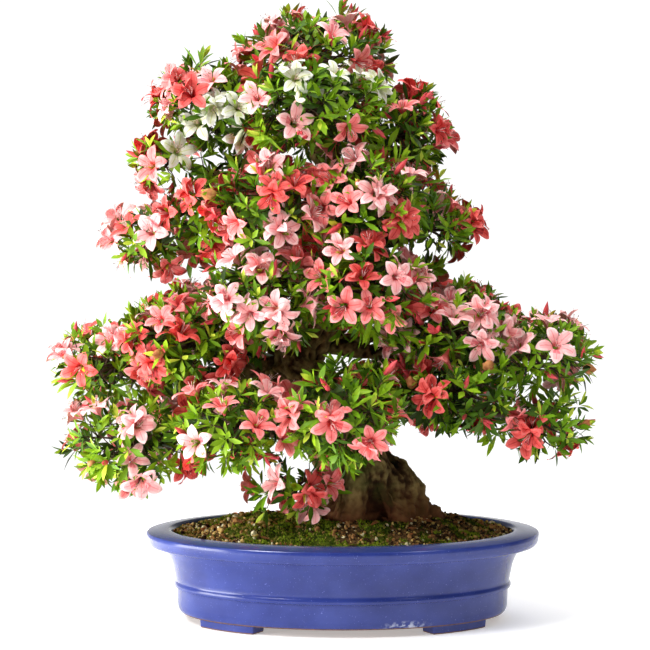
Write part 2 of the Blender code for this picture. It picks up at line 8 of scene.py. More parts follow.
import logging
import math
import random
from dataclasses import dataclass, field
from enum import Enum
from typing import Iterator

import bmesh
import bpy
import numpy as np
from mathutils import Matrix, Vector, noise
from mathutils.bvhtree import BVHTree


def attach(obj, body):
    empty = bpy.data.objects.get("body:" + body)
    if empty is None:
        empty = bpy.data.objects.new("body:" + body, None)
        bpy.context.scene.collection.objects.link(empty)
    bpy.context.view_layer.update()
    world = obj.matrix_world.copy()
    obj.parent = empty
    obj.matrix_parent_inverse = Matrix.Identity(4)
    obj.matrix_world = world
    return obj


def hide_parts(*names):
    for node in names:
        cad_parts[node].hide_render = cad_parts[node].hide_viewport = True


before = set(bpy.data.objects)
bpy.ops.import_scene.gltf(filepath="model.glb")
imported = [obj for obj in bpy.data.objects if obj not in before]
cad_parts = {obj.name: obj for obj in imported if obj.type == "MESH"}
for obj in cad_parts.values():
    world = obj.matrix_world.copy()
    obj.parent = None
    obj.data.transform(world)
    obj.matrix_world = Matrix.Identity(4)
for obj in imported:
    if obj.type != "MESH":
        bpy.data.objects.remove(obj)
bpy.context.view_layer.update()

LOG = logging.getLogger("bonsai")
MM = 0.001
UP = Vector((0, 0, 1))
DEPTH = Vector((0, 1, 0))
GOLDEN_ANGLE = math.pi * (3 - math.sqrt(5))
MOST_TRIANGLES = 190_000

Tree = bpy.types.NodeTree
Node = bpy.types.Node
Socket = bpy.types.NodeSocket


class Slot(Enum):
    """The material slots, one for each kind of piece."""

    GLAZE = "glaze"
    MOSS = "moss"
    BARK = "bark"
    FOLIAGE = "foliage"


class Strain(Enum):
    """The colours of flower on this tree. The value is the first material slot of the strain."""

    PALE = 0
    CORAL = 4
    DEEP = 8
    WHITE = 12


def linear(code: str) -> tuple[float, float, float, float]:
    """Turns an sRGB hex colour into linear red, green, blue and alpha.

    Args:
        code: Six hex digits after a hash sign.

    Returns:
        The linear colour, opaque.
    """
    parts = [int(code[i : i + 2], 16) / 255 for i in (1, 3, 5)]
    made = [c / 12.92 if c <= 0.04045 else ((c + 0.055) / 1.055) ** 2.4 for c in parts]
    return (made[0], made[1], made[2], 1.0)


def add_node(tree: Tree, kind: str, inputs: dict | None = None, stops: tuple = (), **settings) -> Node:
    """Adds one node to a material's tree, with its settings and links.

    Args:
        tree: The node tree.
        kind: The node's type, such as "ShaderNodeBump".
        inputs: Input name or number to a value, or to an output socket that is linked to it.
        stops: Place and hex colour of each stop, where the node is a colour ramp.
        **settings: Attributes of the node.

    Returns:
        The new node.
    """
    made = tree.nodes.new(kind)
    for name, value in settings.items():
        setattr(made, name, value)
    for name, value in (inputs or {}).items():
        if isinstance(value, Socket):
            tree.links.new(value, made.inputs[name])
        else:
            made.inputs[name].default_value = value
    if stops:
        elements = made.color_ramp.elements
        while len(elements) < len(stops):
            elements.new(0.5)
        for element, (place, code) in zip(elements, stops):
            element.position = place
            element.color = linear(code)
    return made


def new_material(name: str) -> tuple[bpy.types.Material, Tree, Node]:
    """Makes an empty material with a Principled shader.

    Args:
        name: The material's name.

    Returns:
        The material, its node tree and its shader node.
    """
    made = bpy.data.materials.new(name)
    made.use_nodes = True
    tree = made.node_tree
    return made, tree, tree.nodes["Principled BSDF"]


@dataclass(frozen=True)
class CobaltGlaze:
    """Stoneware dipped in a cobalt glaze and fired.

    It lies on the wall in clouds of thickness, with fine specks and pits, runs thin over the rim, where
    it turns paler, and has crawled to a whitish patch low on the front.
    """

    body: str = "#324088"
    dense: str = "#222F74"
    thin: str = "#40508C"
    speck: str = "#6A76BC"
    crawl: str = "#B9BFD2"
    roughness: float = 0.2
    refraction: float = 1.52
    gloss: float = 0.4
    cloud_size: float = 40 * MM
    speck_size: float = 1.6 * MM
    pit_size: float = 7 * MM
    pit_depth: float = 0.6 * MM
    streak_size: float = 5 * MM
    rim_height: float = 104 * MM
    rim_fade: float = 3.5 * MM
    crawl_place: tuple = (92 * MM, -118 * MM, 13 * MM)
    crawl_scale: tuple = (30, 20, 140)

    def material(self) -> bpy.types.Material:
        """Builds the glaze: clouds of thickness, specks, fine pits, and a paler skin on top of the rim.

        Returns:
            The material.
        """
        made, tree, shader = new_material("cobalt_glaze_dipped")
        place = add_node(tree, "ShaderNodeTexCoord").outputs["Object"]
        inputs = {"Vector": place, "Scale": 1 / self.cloud_size, "Detail": 9.0}
        clouds = add_node(tree, "ShaderNodeTexNoise", inputs)
        stops = ((0.32, self.dense), (0.68, self.body))
        colour = add_node(tree, "ShaderNodeValToRGB", {"Fac": clouds.outputs["Fac"]}, stops)
        height = add_node(tree, "ShaderNodeSeparateXYZ", {0: place})
        rim_end = self.rim_height + self.rim_fade
        inputs = {"Value": height.outputs["Z"], "From Min": self.rim_height, "From Max": rim_end}
        top = add_node(tree, "ShaderNodeMapRange", inputs)
        inputs = {0: top.outputs["Result"], 6: colour.outputs["Color"], 7: linear(self.thin)}
        pale = add_node(tree, "ShaderNodeMix", inputs, data_type="RGBA")
        inputs = {"Vector": place, "Scale": 1 / self.speck_size, "Detail": 1.0}
        specks = add_node(tree, "ShaderNodeTexNoise", inputs)
        inputs = {"Value": specks.outputs["Fac"], "From Min": 0.7, "From Max": 0.8}
        dots = add_node(tree, "ShaderNodeMapRange", inputs)
        inputs = {0: dots.outputs["Result"], 6: pale.outputs[2], 7: linear(self.speck)}
        speckled = add_node(tree, "ShaderNodeMix", inputs, data_type="RGBA")
        tree.links.new(self.crawled(tree, place, speckled.outputs[2]), shader.inputs["Base Color"])
        inputs = {"Vector": place, "Scale": 1 / self.pit_size, "Detail": 2.0}
        pits = add_node(tree, "ShaderNodeTexNoise", inputs)
        inputs = {"Height": pits.outputs["Fac"], "Strength": 0.1, "Distance": self.pit_depth}
        bump = add_node(tree, "ShaderNodeBump", inputs)
        tree.links.new(bump.outputs["Normal"], shader.inputs["Normal"])
        shader.inputs["Roughness"].default_value = self.roughness
        shader.inputs["IOR"].default_value = self.refraction
        shader.inputs["Specular IOR Level"].default_value = self.gloss
        return made

    def crawled(self, tree: Tree, place: Socket, colour: Socket) -> Socket:
        """Adds the whitish crawl in the glaze, low on the front of the wall.

        Args:
            tree: The node tree.
            place: The piece's own coordinates.
            colour: The glaze's colour so far.

        Returns:
            The colour socket with the crawl over it.
        """
        ends = {0: place, 1: self.crawl_place}
        offset = add_node(tree, "ShaderNodeVectorMath", ends, operation="SUBTRACT")
        both = {0: offset.outputs[0], 1: self.crawl_scale}
        scaled = add_node(tree, "ShaderNodeVectorMath", both, operation="MULTIPLY")
        away = add_node(tree, "ShaderNodeVectorMath", {0: scaled.outputs[0]}, operation="LENGTH")
        inputs = {"Value": away.outputs["Value"], "From Min": 1.0, "From Max": 0.2}
        near = add_node(tree, "ShaderNodeMapRange", inputs)
        inputs = {"Vector": place, "Scale": 1 / self.streak_size, "Detail": 5.0}
        streaks = add_node(tree, "ShaderNodeTexNoise", inputs)
        inputs = {"Value": streaks.outputs["Fac"], "From Min": 0.47, "From Max": 0.62}
        ragged = add_node(tree, "ShaderNodeMapRange", inputs)
        both = {0: near.outputs["Result"], 1: ragged.outputs["Result"]}
        share = add_node(tree, "ShaderNodeMath", both, operation="MULTIPLY")
        inputs = {0: share.outputs[0], 6: colour, 7: linear(self.crawl)}
        return add_node(tree, "ShaderNodeMix", inputs, data_type="RGBA").outputs[2]


@dataclass(frozen=True)
class FiredClay:
    """Unglazed stoneware at the foot ring, wiped clean before firing: rough and reddish brown."""

    light: str = "#7C5644"
    dark: str = "#563A2C"
    roughness: float = 0.85
    grit_size: float = 4 * MM
    grit_depth: float = 0.5 * MM

    def material(self) -> bpy.types.Material:
        """Builds the clay: a gritty mottle, drawn coarser than real grit so that it shows.

        Returns:
            The material.
        """
        made, tree, shader = new_material("stoneware_clay_wiped")
        place = add_node(tree, "ShaderNodeTexCoord").outputs["Object"]
        inputs = {"Vector": place, "Scale": 1 / self.grit_size, "Detail": 3.0}
        grit = add_node(tree, "ShaderNodeTexNoise", inputs)
        stops = ((0.35, self.dark), (0.65, self.light))
        colour = add_node(tree, "ShaderNodeValToRGB", {"Fac": grit.outputs["Fac"]}, stops)
        tree.links.new(colour.outputs["Color"], shader.inputs["Base Color"])
        inputs = {"Height": grit.outputs["Fac"], "Strength": 0.5, "Distance": self.grit_depth}
        bump = add_node(tree, "ShaderNodeBump", inputs)
        tree.links.new(bump.outputs["Normal"], shader.inputs["Normal"])
        shader.inputs["Roughness"].default_value = self.roughness
        return made


@dataclass(frozen=True)
class OldBark:
    """Bark of an old azalea: grey-brown plates over red-brown wood, painted shade, near black, in the
    furrows and hollows, and lichen in patches.
    """

    name: str = "azalea_bark_weathered"
    # hollow is painted shade: the near-black colour where the bark's relief is lowest
    hollow: str = "#100B06"
    wood: str = "#432E19"
    plate: str = "#94804E"
    lichen: str = "#4E5326"
    root: str = "#6E4128"
    roughness: float = 0.9
    gloss: float = 0.12
    grain_size: float = 9 * MM
    patch_size: float = 34 * MM
    crack_size: float = 2.5 * MM
    crack_depth: float = 0.8 * MM
    lichen_share: float = 0.55
    root_height: float = 118 * MM
    root_reach: float = 46 * MM
    root_share: float = 1.6

    def material(self) -> bpy.types.Material:
        """Builds the bark: its relief attribute paints shade, near black, into the furrows and hollows, and
        lichen lies in patches.

        Returns:
            The material.
        """
        made, tree, shader = new_material(self.name)
        place = add_node(tree, "ShaderNodeTexCoord").outputs["Object"]
        relief = add_node(tree, "ShaderNodeAttribute", attribute_name="relief")
        inputs = {"Vector": place, "Scale": 1 / self.grain_size, "Detail": 3.0}
        grain = add_node(tree, "ShaderNodeTexNoise", inputs)
        both = {0: relief.outputs["Fac"], 1: grain.outputs["Fac"]}
        height = add_node(tree, "ShaderNodeMath", both, operation="ADD")
        half = add_node(tree, "ShaderNodeMath", {0: height.outputs[0], 1: 0.5}, operation="MULTIPLY")
        # Low relief takes the hollow colour, painted shade in the furrows; wood and plate are the bark's
        # own colours
        stops = ((0.36, self.hollow), (0.52, self.wood), (0.74, self.plate))
        colour = add_node(tree, "ShaderNodeValToRGB", {"Fac": half.outputs[0]}, stops)
        inputs = {"Vector": place, "Scale": 1 / self.patch_size, "Detail": 3.0}
        patches = add_node(tree, "ShaderNodeTexNoise", inputs)
        inputs = {"Value": patches.outputs["Fac"], "From Min": 0.5, "From Max": 0.62}
        moss = add_node(tree, "ShaderNodeMapRange", inputs)
        both = {0: moss.outputs["Result"], 1: self.lichen_share}
        share = add_node(tree, "ShaderNodeMath", both, operation="MULTIPLY")
        inputs = {0: share.outputs[0], 6: colour.outputs["Color"], 7: linear(self.lichen)}
        mixed = add_node(tree, "ShaderNodeMix", inputs, data_type="RGBA")
        level = add_node(tree, "ShaderNodeSeparateXYZ", {0: place})
        inputs = {
            "Value": level.outputs["Z"],
            "From Min": self.root_height,
            "From Max": self.root_height + self.root_reach,
            "To Min": self.root_share,
            "To Max": 0.0,
        }
        low = add_node(tree, "ShaderNodeMapRange", inputs)
        both = {0: low.outputs["Result"], 1: half.outputs[0]}
        ruddy = add_node(tree, "ShaderNodeMath", both, operation="MULTIPLY")
        inputs = {0: ruddy.outputs[0], 6: mixed.outputs[2], 7: linear(self.root)}
        rooty = add_node(tree, "ShaderNodeMix", inputs, data_type="RGBA")
        tree.links.new(rooty.outputs[2], shader.inputs["Base Color"])
        inputs = {"Vector": place, "Scale": 1 / self.crack_size, "Detail": 4.0}
        fine = add_node(tree, "ShaderNodeTexNoise", inputs)
        inputs = {"Height": fine.outputs["Fac"], "Strength": 0.7, "Distance": self.crack_depth}
        bump = add_node(tree, "ShaderNodeBump", inputs)
        tree.links.new(bump.outputs["Normal"], shader.inputs["Normal"])
        shader.inputs["Roughness"].default_value = self.roughness
        shader.inputs["Specular IOR Level"].default_value = self.gloss
        return made


@dataclass(frozen=True)
class Mottled:
    """A living or earthy skin of two close colours that wander over it, with a fine grain."""

    name: str
    first: str
    second: str
    patch_mm: float
    roughness: float
    bump: float = 0.3
    grain_mm: float = 2.0
    sheen: float = 0.3

    def material(self) -> bpy.types.Material:
        """Builds the skin: a mottle between the two colours and a light bump.

        Returns:
            The material.
        """
        made, tree, shader = new_material(self.name)
        place = add_node(tree, "ShaderNodeTexCoord").outputs["Object"]
        inputs = {"Vector": place, "Scale": 1 / (self.patch_mm * MM), "Detail": 3.0}
        patches = add_node(tree, "ShaderNodeTexNoise", inputs)
        stops = ((0.38, self.first), (0.62, self.second))
        colour = add_node(tree, "ShaderNodeValToRGB", {"Fac": patches.outputs["Fac"]}, stops)
        tree.links.new(colour.outputs["Color"], shader.inputs["Base Color"])
        inputs = {"Vector": place, "Scale": 1 / (self.grain_mm * MM), "Detail": 2.0}
        grain = add_node(tree, "ShaderNodeTexNoise", inputs)
        inputs = {"Height": grain.outputs["Fac"], "Strength": self.bump, "Distance": 0.4 * MM}
        bump = add_node(tree, "ShaderNodeBump", inputs)
        tree.links.new(bump.outputs["Normal"], shader.inputs["Normal"])
        shader.inputs["Roughness"].default_value = self.roughness
        shader.inputs["Specular IOR Level"].default_value = self.sheen
        return made


# Leaves are waxy above: green blades of four ages, and yellow-green young ones. The old and dark blades
# also stand for shade: painted shade inside the crown and on shaded masses
LEAF_FINISHES = (
    Mottled("leaf_blade_old_shaded", "#223406", "#2E4408", 30, 0.5, sheen=0.22),
    Mottled("leaf_blade_dark", "#3C5E08", "#486C0C", 30, 0.46, sheen=0.22),
    Mottled("leaf_blade_green", "#5C840C", "#6A9212", 30, 0.46, sheen=0.22),
    Mottled("leaf_blade_bright", "#7CA216", "#8EB21E", 30, 0.46, sheen=0.22),
    Mottled("leaf_blade_young", "#B0C434", "#C4D24A", 30, 0.46, sheen=0.22),
)
# Petals are thin and silky: throat, blade, paler margin and the freckled blotch of each strain
PETAL_FINISHES = (
    Mottled("petal_throat_pale", "#EE8688", "#F3989A", 9, 0.6),
    Mottled("petal_blade_pale", "#F7A9A9", "#FBBAB8", 9, 0.6),
    Mottled("petal_margin_pale", "#FBC2C0", "#FDD2CE", 9, 0.6),
    Mottled("petal_blotch_pale", "#DE6A74", "#E87E84", 4, 0.6),
    Mottled("petal_throat_coral", "#E2504E", "#EA6462", 9, 0.6),
    Mottled("petal_blade_coral", "#F07572", "#F48683", 9, 0.6),
    Mottled("petal_margin_coral", "#F68F8C", "#F9A09D", 9, 0.6),
    Mottled("petal_blotch_coral", "#C83C40", "#D44C50", 4, 0.6),
    Mottled("petal_throat_deep", "#C42A2A", "#D03A38", 9, 0.6),
    Mottled("petal_blade_deep", "#E04A44", "#E85C56", 9, 0.6),
    Mottled("petal_margin_deep", "#EA625C", "#F0726C", 9, 0.6),
    Mottled("petal_blotch_deep", "#A01E24", "#B02C30", 4, 0.6),
    Mottled("petal_throat_white", "#C9D088", "#D6DB9C", 9, 0.6),
    Mottled("petal_blade_white", "#DFE0C8", "#E8E8D6", 9, 0.6),
    Mottled("petal_margin_white", "#EBEBDF", "#F0F0E7", 9, 0.6),
    Mottled("petal_blotch_white", "#CCD394", "#D6DCA6", 4, 0.6),
)
# The small parts are matt: threads and anthers of the stamens, buds with their scales, and spent blooms
SMALL_FINISHES = (
    Mottled("stamen_thread", "#F4C9C4", "#F9DDD6", 6, 0.5),
    Mottled("anther_dust", "#6E4A3C", "#8A6048", 3, 0.8),
    Mottled("bud_coral", "#D2404A", "#E3585C", 9, 0.5),
    Mottled("bud_white", "#E6E8BE", "#F2F1DC", 9, 0.5),
    Mottled("bud_scale_green", "#6F8F35", "#86A344", 6, 0.6),
    Mottled("bloom_spent_brown", "#A8623A", "#C98A55", 6, 0.8),
)
# Young bark is thin, brown and a little rough
TWIG_FINISH = Mottled("azalea_twig_skin", "#3E2C20", "#5E4632", 10, 0.8, bump=0.5)


class Shape:
    """A small pattern of triangles, each with a material slot, that is copied many times."""

    def __init__(self, points: list, triangles: list, slots: list[int]) -> None:
        """Keeps the points, triangles and slots as arrays.

        Args:
            points: Places of the corners, in metres.
            triangles: Three corner numbers each.
            slots: The material slot of each triangle.
        """
        self.points = np.array(points, float).reshape(-1, 3)
        self.triangles = np.array(triangles, int).reshape(-1, 3)
        self.slots = np.array(slots, int)

    def moved(self, matrix: Matrix) -> "Shape":
        """Returns this shape under a matrix."""
        grid = np.array(matrix)
        return Shape(self.points @ grid[:3, :3].T + grid[:3, 3], self.triangles, self.slots)

    @staticmethod
    def joined(shapes: list["Shape"]) -> "Shape":
        """Joins shapes into one.

        Args:
            shapes: The shapes, each with its own points.

        Returns:
            One shape of them all.
        """
        counts = np.cumsum([0] + [len(s.points) for s in shapes])
        return Shape(
            np.concatenate([s.points for s in shapes]),
            np.concatenate([s.triangles + c for s, c in zip(shapes, counts)]),
            np.concatenate([s.slots for s in shapes]),
        )


@dataclass
class Batch:
    """Copies of small shapes of one kind, joined into as few pieces as the triangle limit lets."""

    name: str
    finishes: tuple
    smooth: bool = True
    shapes: list[Shape] = field(default_factory=list)

    def add(self, shape: Shape, matrix: Matrix, slots: np.ndarray | None = None) -> None:
        """Adds a copy of a shape.

        Args:
            shape: What is copied.
            matrix: Where the copy goes.
            slots: The material for each of the shape's own slots, or None to keep them.
        """
        copy = shape.moved(matrix)
        if slots is not None:
            copy.slots = slots[copy.slots]
        self.shapes.append(copy)

    def pieces(self) -> list[bpy.types.Object]:
        """Builds the joined pieces.

        Returns:
            The new objects, each under the triangle limit.
        """
        total = sum(len(s.triangles) for s in self.shapes)
        count = max(1, math.ceil(total / MOST_TRIANGLES))
        per = math.ceil(len(self.shapes) / count)
        materials = [finish.material() for finish in self.finishes]
        made = []
        for i in range(count):
            whole = Shape.joined(self.shapes[i * per : (i + 1) * per])
            name = self.name if count == 1 else f"{self.name}_{i + 1}"
            made.append(mesh_object(name, whole, materials, self.smooth))
        return made


def mesh_object(name: str, shape: Shape, materials: list, smooth: bool = True) -> bpy.types.Object:
    """Makes an object of a shape's triangles.

    Args:
        name: The object's name.
        shape: Points, triangles and slots.
        materials: The object's materials, in the order of the slots.
        smooth: Whether the faces are shaded smooth.

    Returns:
        The new object, linked to the scene.
    """
    mesh = bpy.data.meshes.new(name)
    mesh.vertices.add(len(shape.points))
    mesh.vertices.foreach_set("co", shape.points.ravel())
    mesh.loops.add(shape.triangles.size)
    mesh.loops.foreach_set("vertex_index", shape.triangles.ravel())
    mesh.polygons.add(len(shape.triangles))
    mesh.polygons.foreach_set("loop_start", np.arange(0, shape.triangles.size, 3))
    for material in materials:
        mesh.materials.append(material)
    mesh.polygons.foreach_set("material_index", shape.slots)
    mesh.polygons.foreach_set("use_smooth", np.full(len(shape.triangles), smooth))
    mesh.update(calc_edges=True)
    made = bpy.data.objects.new(name, mesh)
    bpy.context.scene.collection.objects.link(made)
    return made


def settle(piece: bpy.types.Object, slot: Slot, *nodes: str) -> None:
    """Rides a piece on the plant's body and lets it replace CAD nodes.

    Args:
        piece: The finished piece.
        slot: Its material slot; not used.
        *nodes: The CAD nodes that it stands for.
    """
    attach(piece, "root")
    if nodes:
        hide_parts(*nodes)
    LOG.info("%s: %d faces", piece.name, len(piece.data.polygons))


def only(obj: bpy.types.Object) -> None:
    """Selects this object alone and makes it active.

    Args:
        obj: The object.
    """
    bpy.ops.object.select_all(action="DESELECT")
    obj.select_set(True)
    bpy.context.view_layer.objects.active = obj


def with_modifier(obj: bpy.types.Object, kind: str, **settings) -> None:
    """Adds a modifier to an object and applies it.

    Args:
        obj: The object.
        kind: The modifier's type, such as "BEVEL".
        **settings: Attributes of the modifier.
    """
    only(obj)
    modifier = obj.modifiers.new("shape", kind)
    for name, value in settings.items():
        setattr(modifier, name, value)
    bpy.ops.object.modifier_apply(modifier=modifier.name)


@dataclass
class OvalPot:
    """The pot: an oval bowl turned up from a flat base, with a broad rim, a rib and four low feet."""

    length: float = 466 * MM
    depth: float = 336 * MM
    height: float = 108 * MM
    centre: Vector = field(default_factory=lambda: Vector((21 * MM, 0, 0)))
    rim_width: float = 29 * MM
    rim_fall: float = 3 * MM
    rim_band: float = 16 * MM
    foot_height: float = 9 * MM
    wall_inset: float = 37 * MM
    base_inset: float = 42 * MM
    rib_height: float = 43 * MM
    rib_proud: float = 4 * MM
    foot_bearing: float = 43
    foot_span: float = 28
    foot_width: float = 22 * MM
    drain_radius: float = 12 * MM
    drain_offset: float = 75 * MM
    sides: int = 96

    def profile(self) -> list[tuple[float, float]]:
        """Works out the section, from the edge of the base over the rim to the floor.

        Returns:
            Inset from the rim's outer edge, and height, of each point.
        """
        edge = self.height - self.rim_fall
        under = edge - self.rim_band
        lower = self.wall_inset
        upper = lower - 2.5 * MM
        floor = self.foot_height + 10 * MM
        return [
            (self.base_inset + 2 * MM, self.foot_height),
            (self.base_inset - 0.6 * MM, self.foot_height + 0.4 * MM),
            (self.base_inset - 2.4 * MM, self.foot_height + 2 * MM),
            (lower + 0.8 * MM, self.foot_height + 5.5 * MM),
            (lower, self.foot_height + 12 * MM),
            (lower - 0.4 * MM, self.rib_height - 7 * MM),
            (lower - 0.8 * MM, self.rib_height - 4.4 * MM),
            (lower - self.rib_proud + 0.8 * MM, self.rib_height - 3.4 * MM),
            (lower - self.rib_proud, self.rib_height - 1.8 * MM),
            (lower - self.rib_proud, self.rib_height + 0.8 * MM),
            (lower - self.rib_proud + 1.2 * MM, self.rib_height + 2.6 * MM),
            (upper + 0.4 * MM, self.rib_height + 4.6 * MM),
            (upper - 0.4 * MM, self.rib_height + 9 * MM),
            (upper - 3.5 * MM, self.rib_height + 24 * MM),
            (upper - 7.5 * MM, self.height - 31 * MM),
            (upper - 10 * MM, self.height - 26.5 * MM),
            (upper - 12.5 * MM, under - 4 * MM),
            (upper - 14 * MM, under - 1.2 * MM),
            (upper - 17 * MM, under - 0.6 * MM),
            (8 * MM, under - 0.2 * MM),
            (4 * MM, under + 1 * MM),
            (1.8 * MM, under + 3.6 * MM),
            (0.6 * MM, under + 7 * MM),
            (0.1 * MM, under + 11 * MM),
            (0.1 * MM, edge - 1.6 * MM),
            (1.2 * MM, edge - 0.1 * MM),
            (5 * MM, edge + 0.8 * MM),
            (self.rim_width * 0.5, edge + 1.8 * MM),
            (self.rim_width - 4 * MM, self.height - 0.1 * MM),
            (self.rim_width - 0.8 * MM, self.height - 0.5 * MM),
            (self.rim_width + 1.2 * MM, self.height - 2.6 * MM),
            (self.rim_width + 3.4 * MM, self.height - 9 * MM),
            (self.rim_width + 12 * MM, self.height - 40 * MM),
            (lower + 13 * MM, floor + 14 * MM),
            (lower + 23 * MM, floor),
        ]

    def halves(self, inset: float) -> tuple[float, float]:
        """Returns the half length and half depth of the oval at this inset."""
        return self.length / 2 - inset, self.depth / 2 - inset

    def wall(self) -> bpy.types.Object:
        """Builds the bowl: one oval, extruded and resized round the whole section, and closed.

        Returns:
            The bowl.
        """
        profile = self.profile()
        inset, height = profile[0]
        start = self.centre + UP * height
        bpy.ops.mesh.primitive_circle_add(vertices=self.sides, radius=1, location=start)
        pot = bpy.context.active_object
        pot.name = "glazed_pot"
        bpy.ops.object.mode_set(mode="EDIT")
        now = self.halves(inset)
        bpy.ops.transform.resize(value=(now[0], now[1], 1), center_override=start)
        bpy.ops.mesh.extrude_region_move()
        bpy.ops.transform.resize(value=(0.4, 0.4, 1), center_override=start)
        bpy.ops.mesh.merge(type="CENTER")
        bpy.ops.mesh.select_all(action="DESELECT")
        self.select_outermost(pot)
        for inset, height in profile[1:]:
            wanted = self.halves(inset)
            rise = self.centre.z + height - start.z
            bpy.ops.mesh.extrude_region_move(TRANSFORM_OT_translate={"value": (0, 0, rise)})
            start = self.centre + UP * height
            ratio = (wanted[0] / now[0], wanted[1] / now[1], 1)
            bpy.ops.transform.resize(value=ratio, center_override=start)
            now = wanted
        bpy.ops.mesh.extrude_region_move()
        bpy.ops.mesh.merge(type="CENTER")
        bpy.ops.mesh.select_all(action="SELECT")
        bpy.ops.mesh.normals_make_consistent(inside=False)
        bpy.ops.object.mode_set(mode="OBJECT")
        bpy.ops.object.transform_apply(location=True, rotation=True, scale=True)
        return pot

    def select_outermost(self, pot: bpy.types.Object) -> None:
        """Selects the rim of the disc that the base starts from.

        Args:
            pot: The disc, in edit mode.
        """
        bm = bmesh.from_edit_mesh(pot.data)
        for edge in bm.edges:
            if len(edge.link_faces) == 1:
                edge.select = True
        bmesh.update_edit_mesh(pot.data)

    def foot(self, bearing: float) -> bpy.types.Object:
        """Builds one low foot: a bar along the oval, rounded at its edges.

        Args:
            bearing: The foot's middle, in degrees round the oval from the viewer's right.

        Returns:
            The foot.
        """
        bpy.ops.object.select_all(action="DESELECT")
        bpy.ops.mesh.primitive_cube_add(size=1)
        foot = bpy.context.active_object
        bpy.ops.object.mode_set(mode="EDIT")
        bpy.ops.mesh.subdivide(number_cuts=7)
        bpy.ops.object.mode_set(mode="OBJECT")
        top = self.foot_height + 3 * MM
        for vertex in foot.data.vertices:
            along, across, up = vertex.co
            flare = 1 + 0.03 * (up + 0.5)
            turn = math.radians(bearing + along * self.foot_span * flare)
            inset = self.base_inset + self.foot_width * (0.5 - across * flare) + 1 * MM
            long_half, short_half = self.halves(inset)
            oval = Vector((long_half * math.cos(turn), short_half * math.sin(turn), (up + 0.5) * top))
            vertex.co = self.centre + oval
        only(foot)
        bpy.ops.object.mode_set(mode="EDIT")
        bpy.ops.mesh.select_all(action="SELECT")
        bpy.ops.mesh.normals_make_consistent(inside=False)
        bpy.ops.object.mode_set(mode="OBJECT")
        with_modifier(foot, "BEVEL", width=1.2 * MM, segments=3, limit_method="ANGLE")
        return foot

    def drain(self, side: int) -> bpy.types.Object:
        """Builds a bar that cuts one drain hole.

        Args:
            side: -1 for the left hole and 1 for the right one.

        Returns:
            The bar.
        """
        bpy.ops.object.select_all(action="DESELECT")
        place = self.centre + Vector((side * self.drain_offset, 0, self.foot_height))
        bpy.ops.mesh.primitive_cylinder_add(
            vertices=48, radius=self.drain_radius, depth=40 * MM, location=place
        )
        return bpy.context.active_object

    def build(self) -> None:
        """Builds the pot, cuts its drain holes, joins its feet and glazes it."""
        bpy.ops.object.select_all(action="DESELECT")
        pot = self.wall()
        for side in (-1, 1):
            bar = self.drain(side)
            with_modifier(pot, "BOOLEAN", operation="DIFFERENCE", solver="EXACT", object=bar)
            bpy.data.objects.remove(bar)
        turns = (self.foot_bearing, 180 - self.foot_bearing)
        feet = [self.foot(b) for t in turns for b in (t, -t)]
        only(pot)
        for foot in feet:
            foot.select_set(True)
        bpy.ops.object.join()
        pot.data.materials.clear()
        pot.data.materials.append(CobaltGlaze().material())
        pot.data.materials.append(FiredClay().material())
        for polygon in pot.data.polygons:
            low = polygon.center.z < 1.6 * MM
            under = polygon.normal.z < -0.5 and polygon.center.z < self.foot_height + 2 * MM
            polygon.material_index = 1 if low or under else 0
        only(pot)
        bpy.ops.object.shade_smooth_by_angle(angle=math.radians(40))
        settle(pot, Slot.GLAZE, "pot")


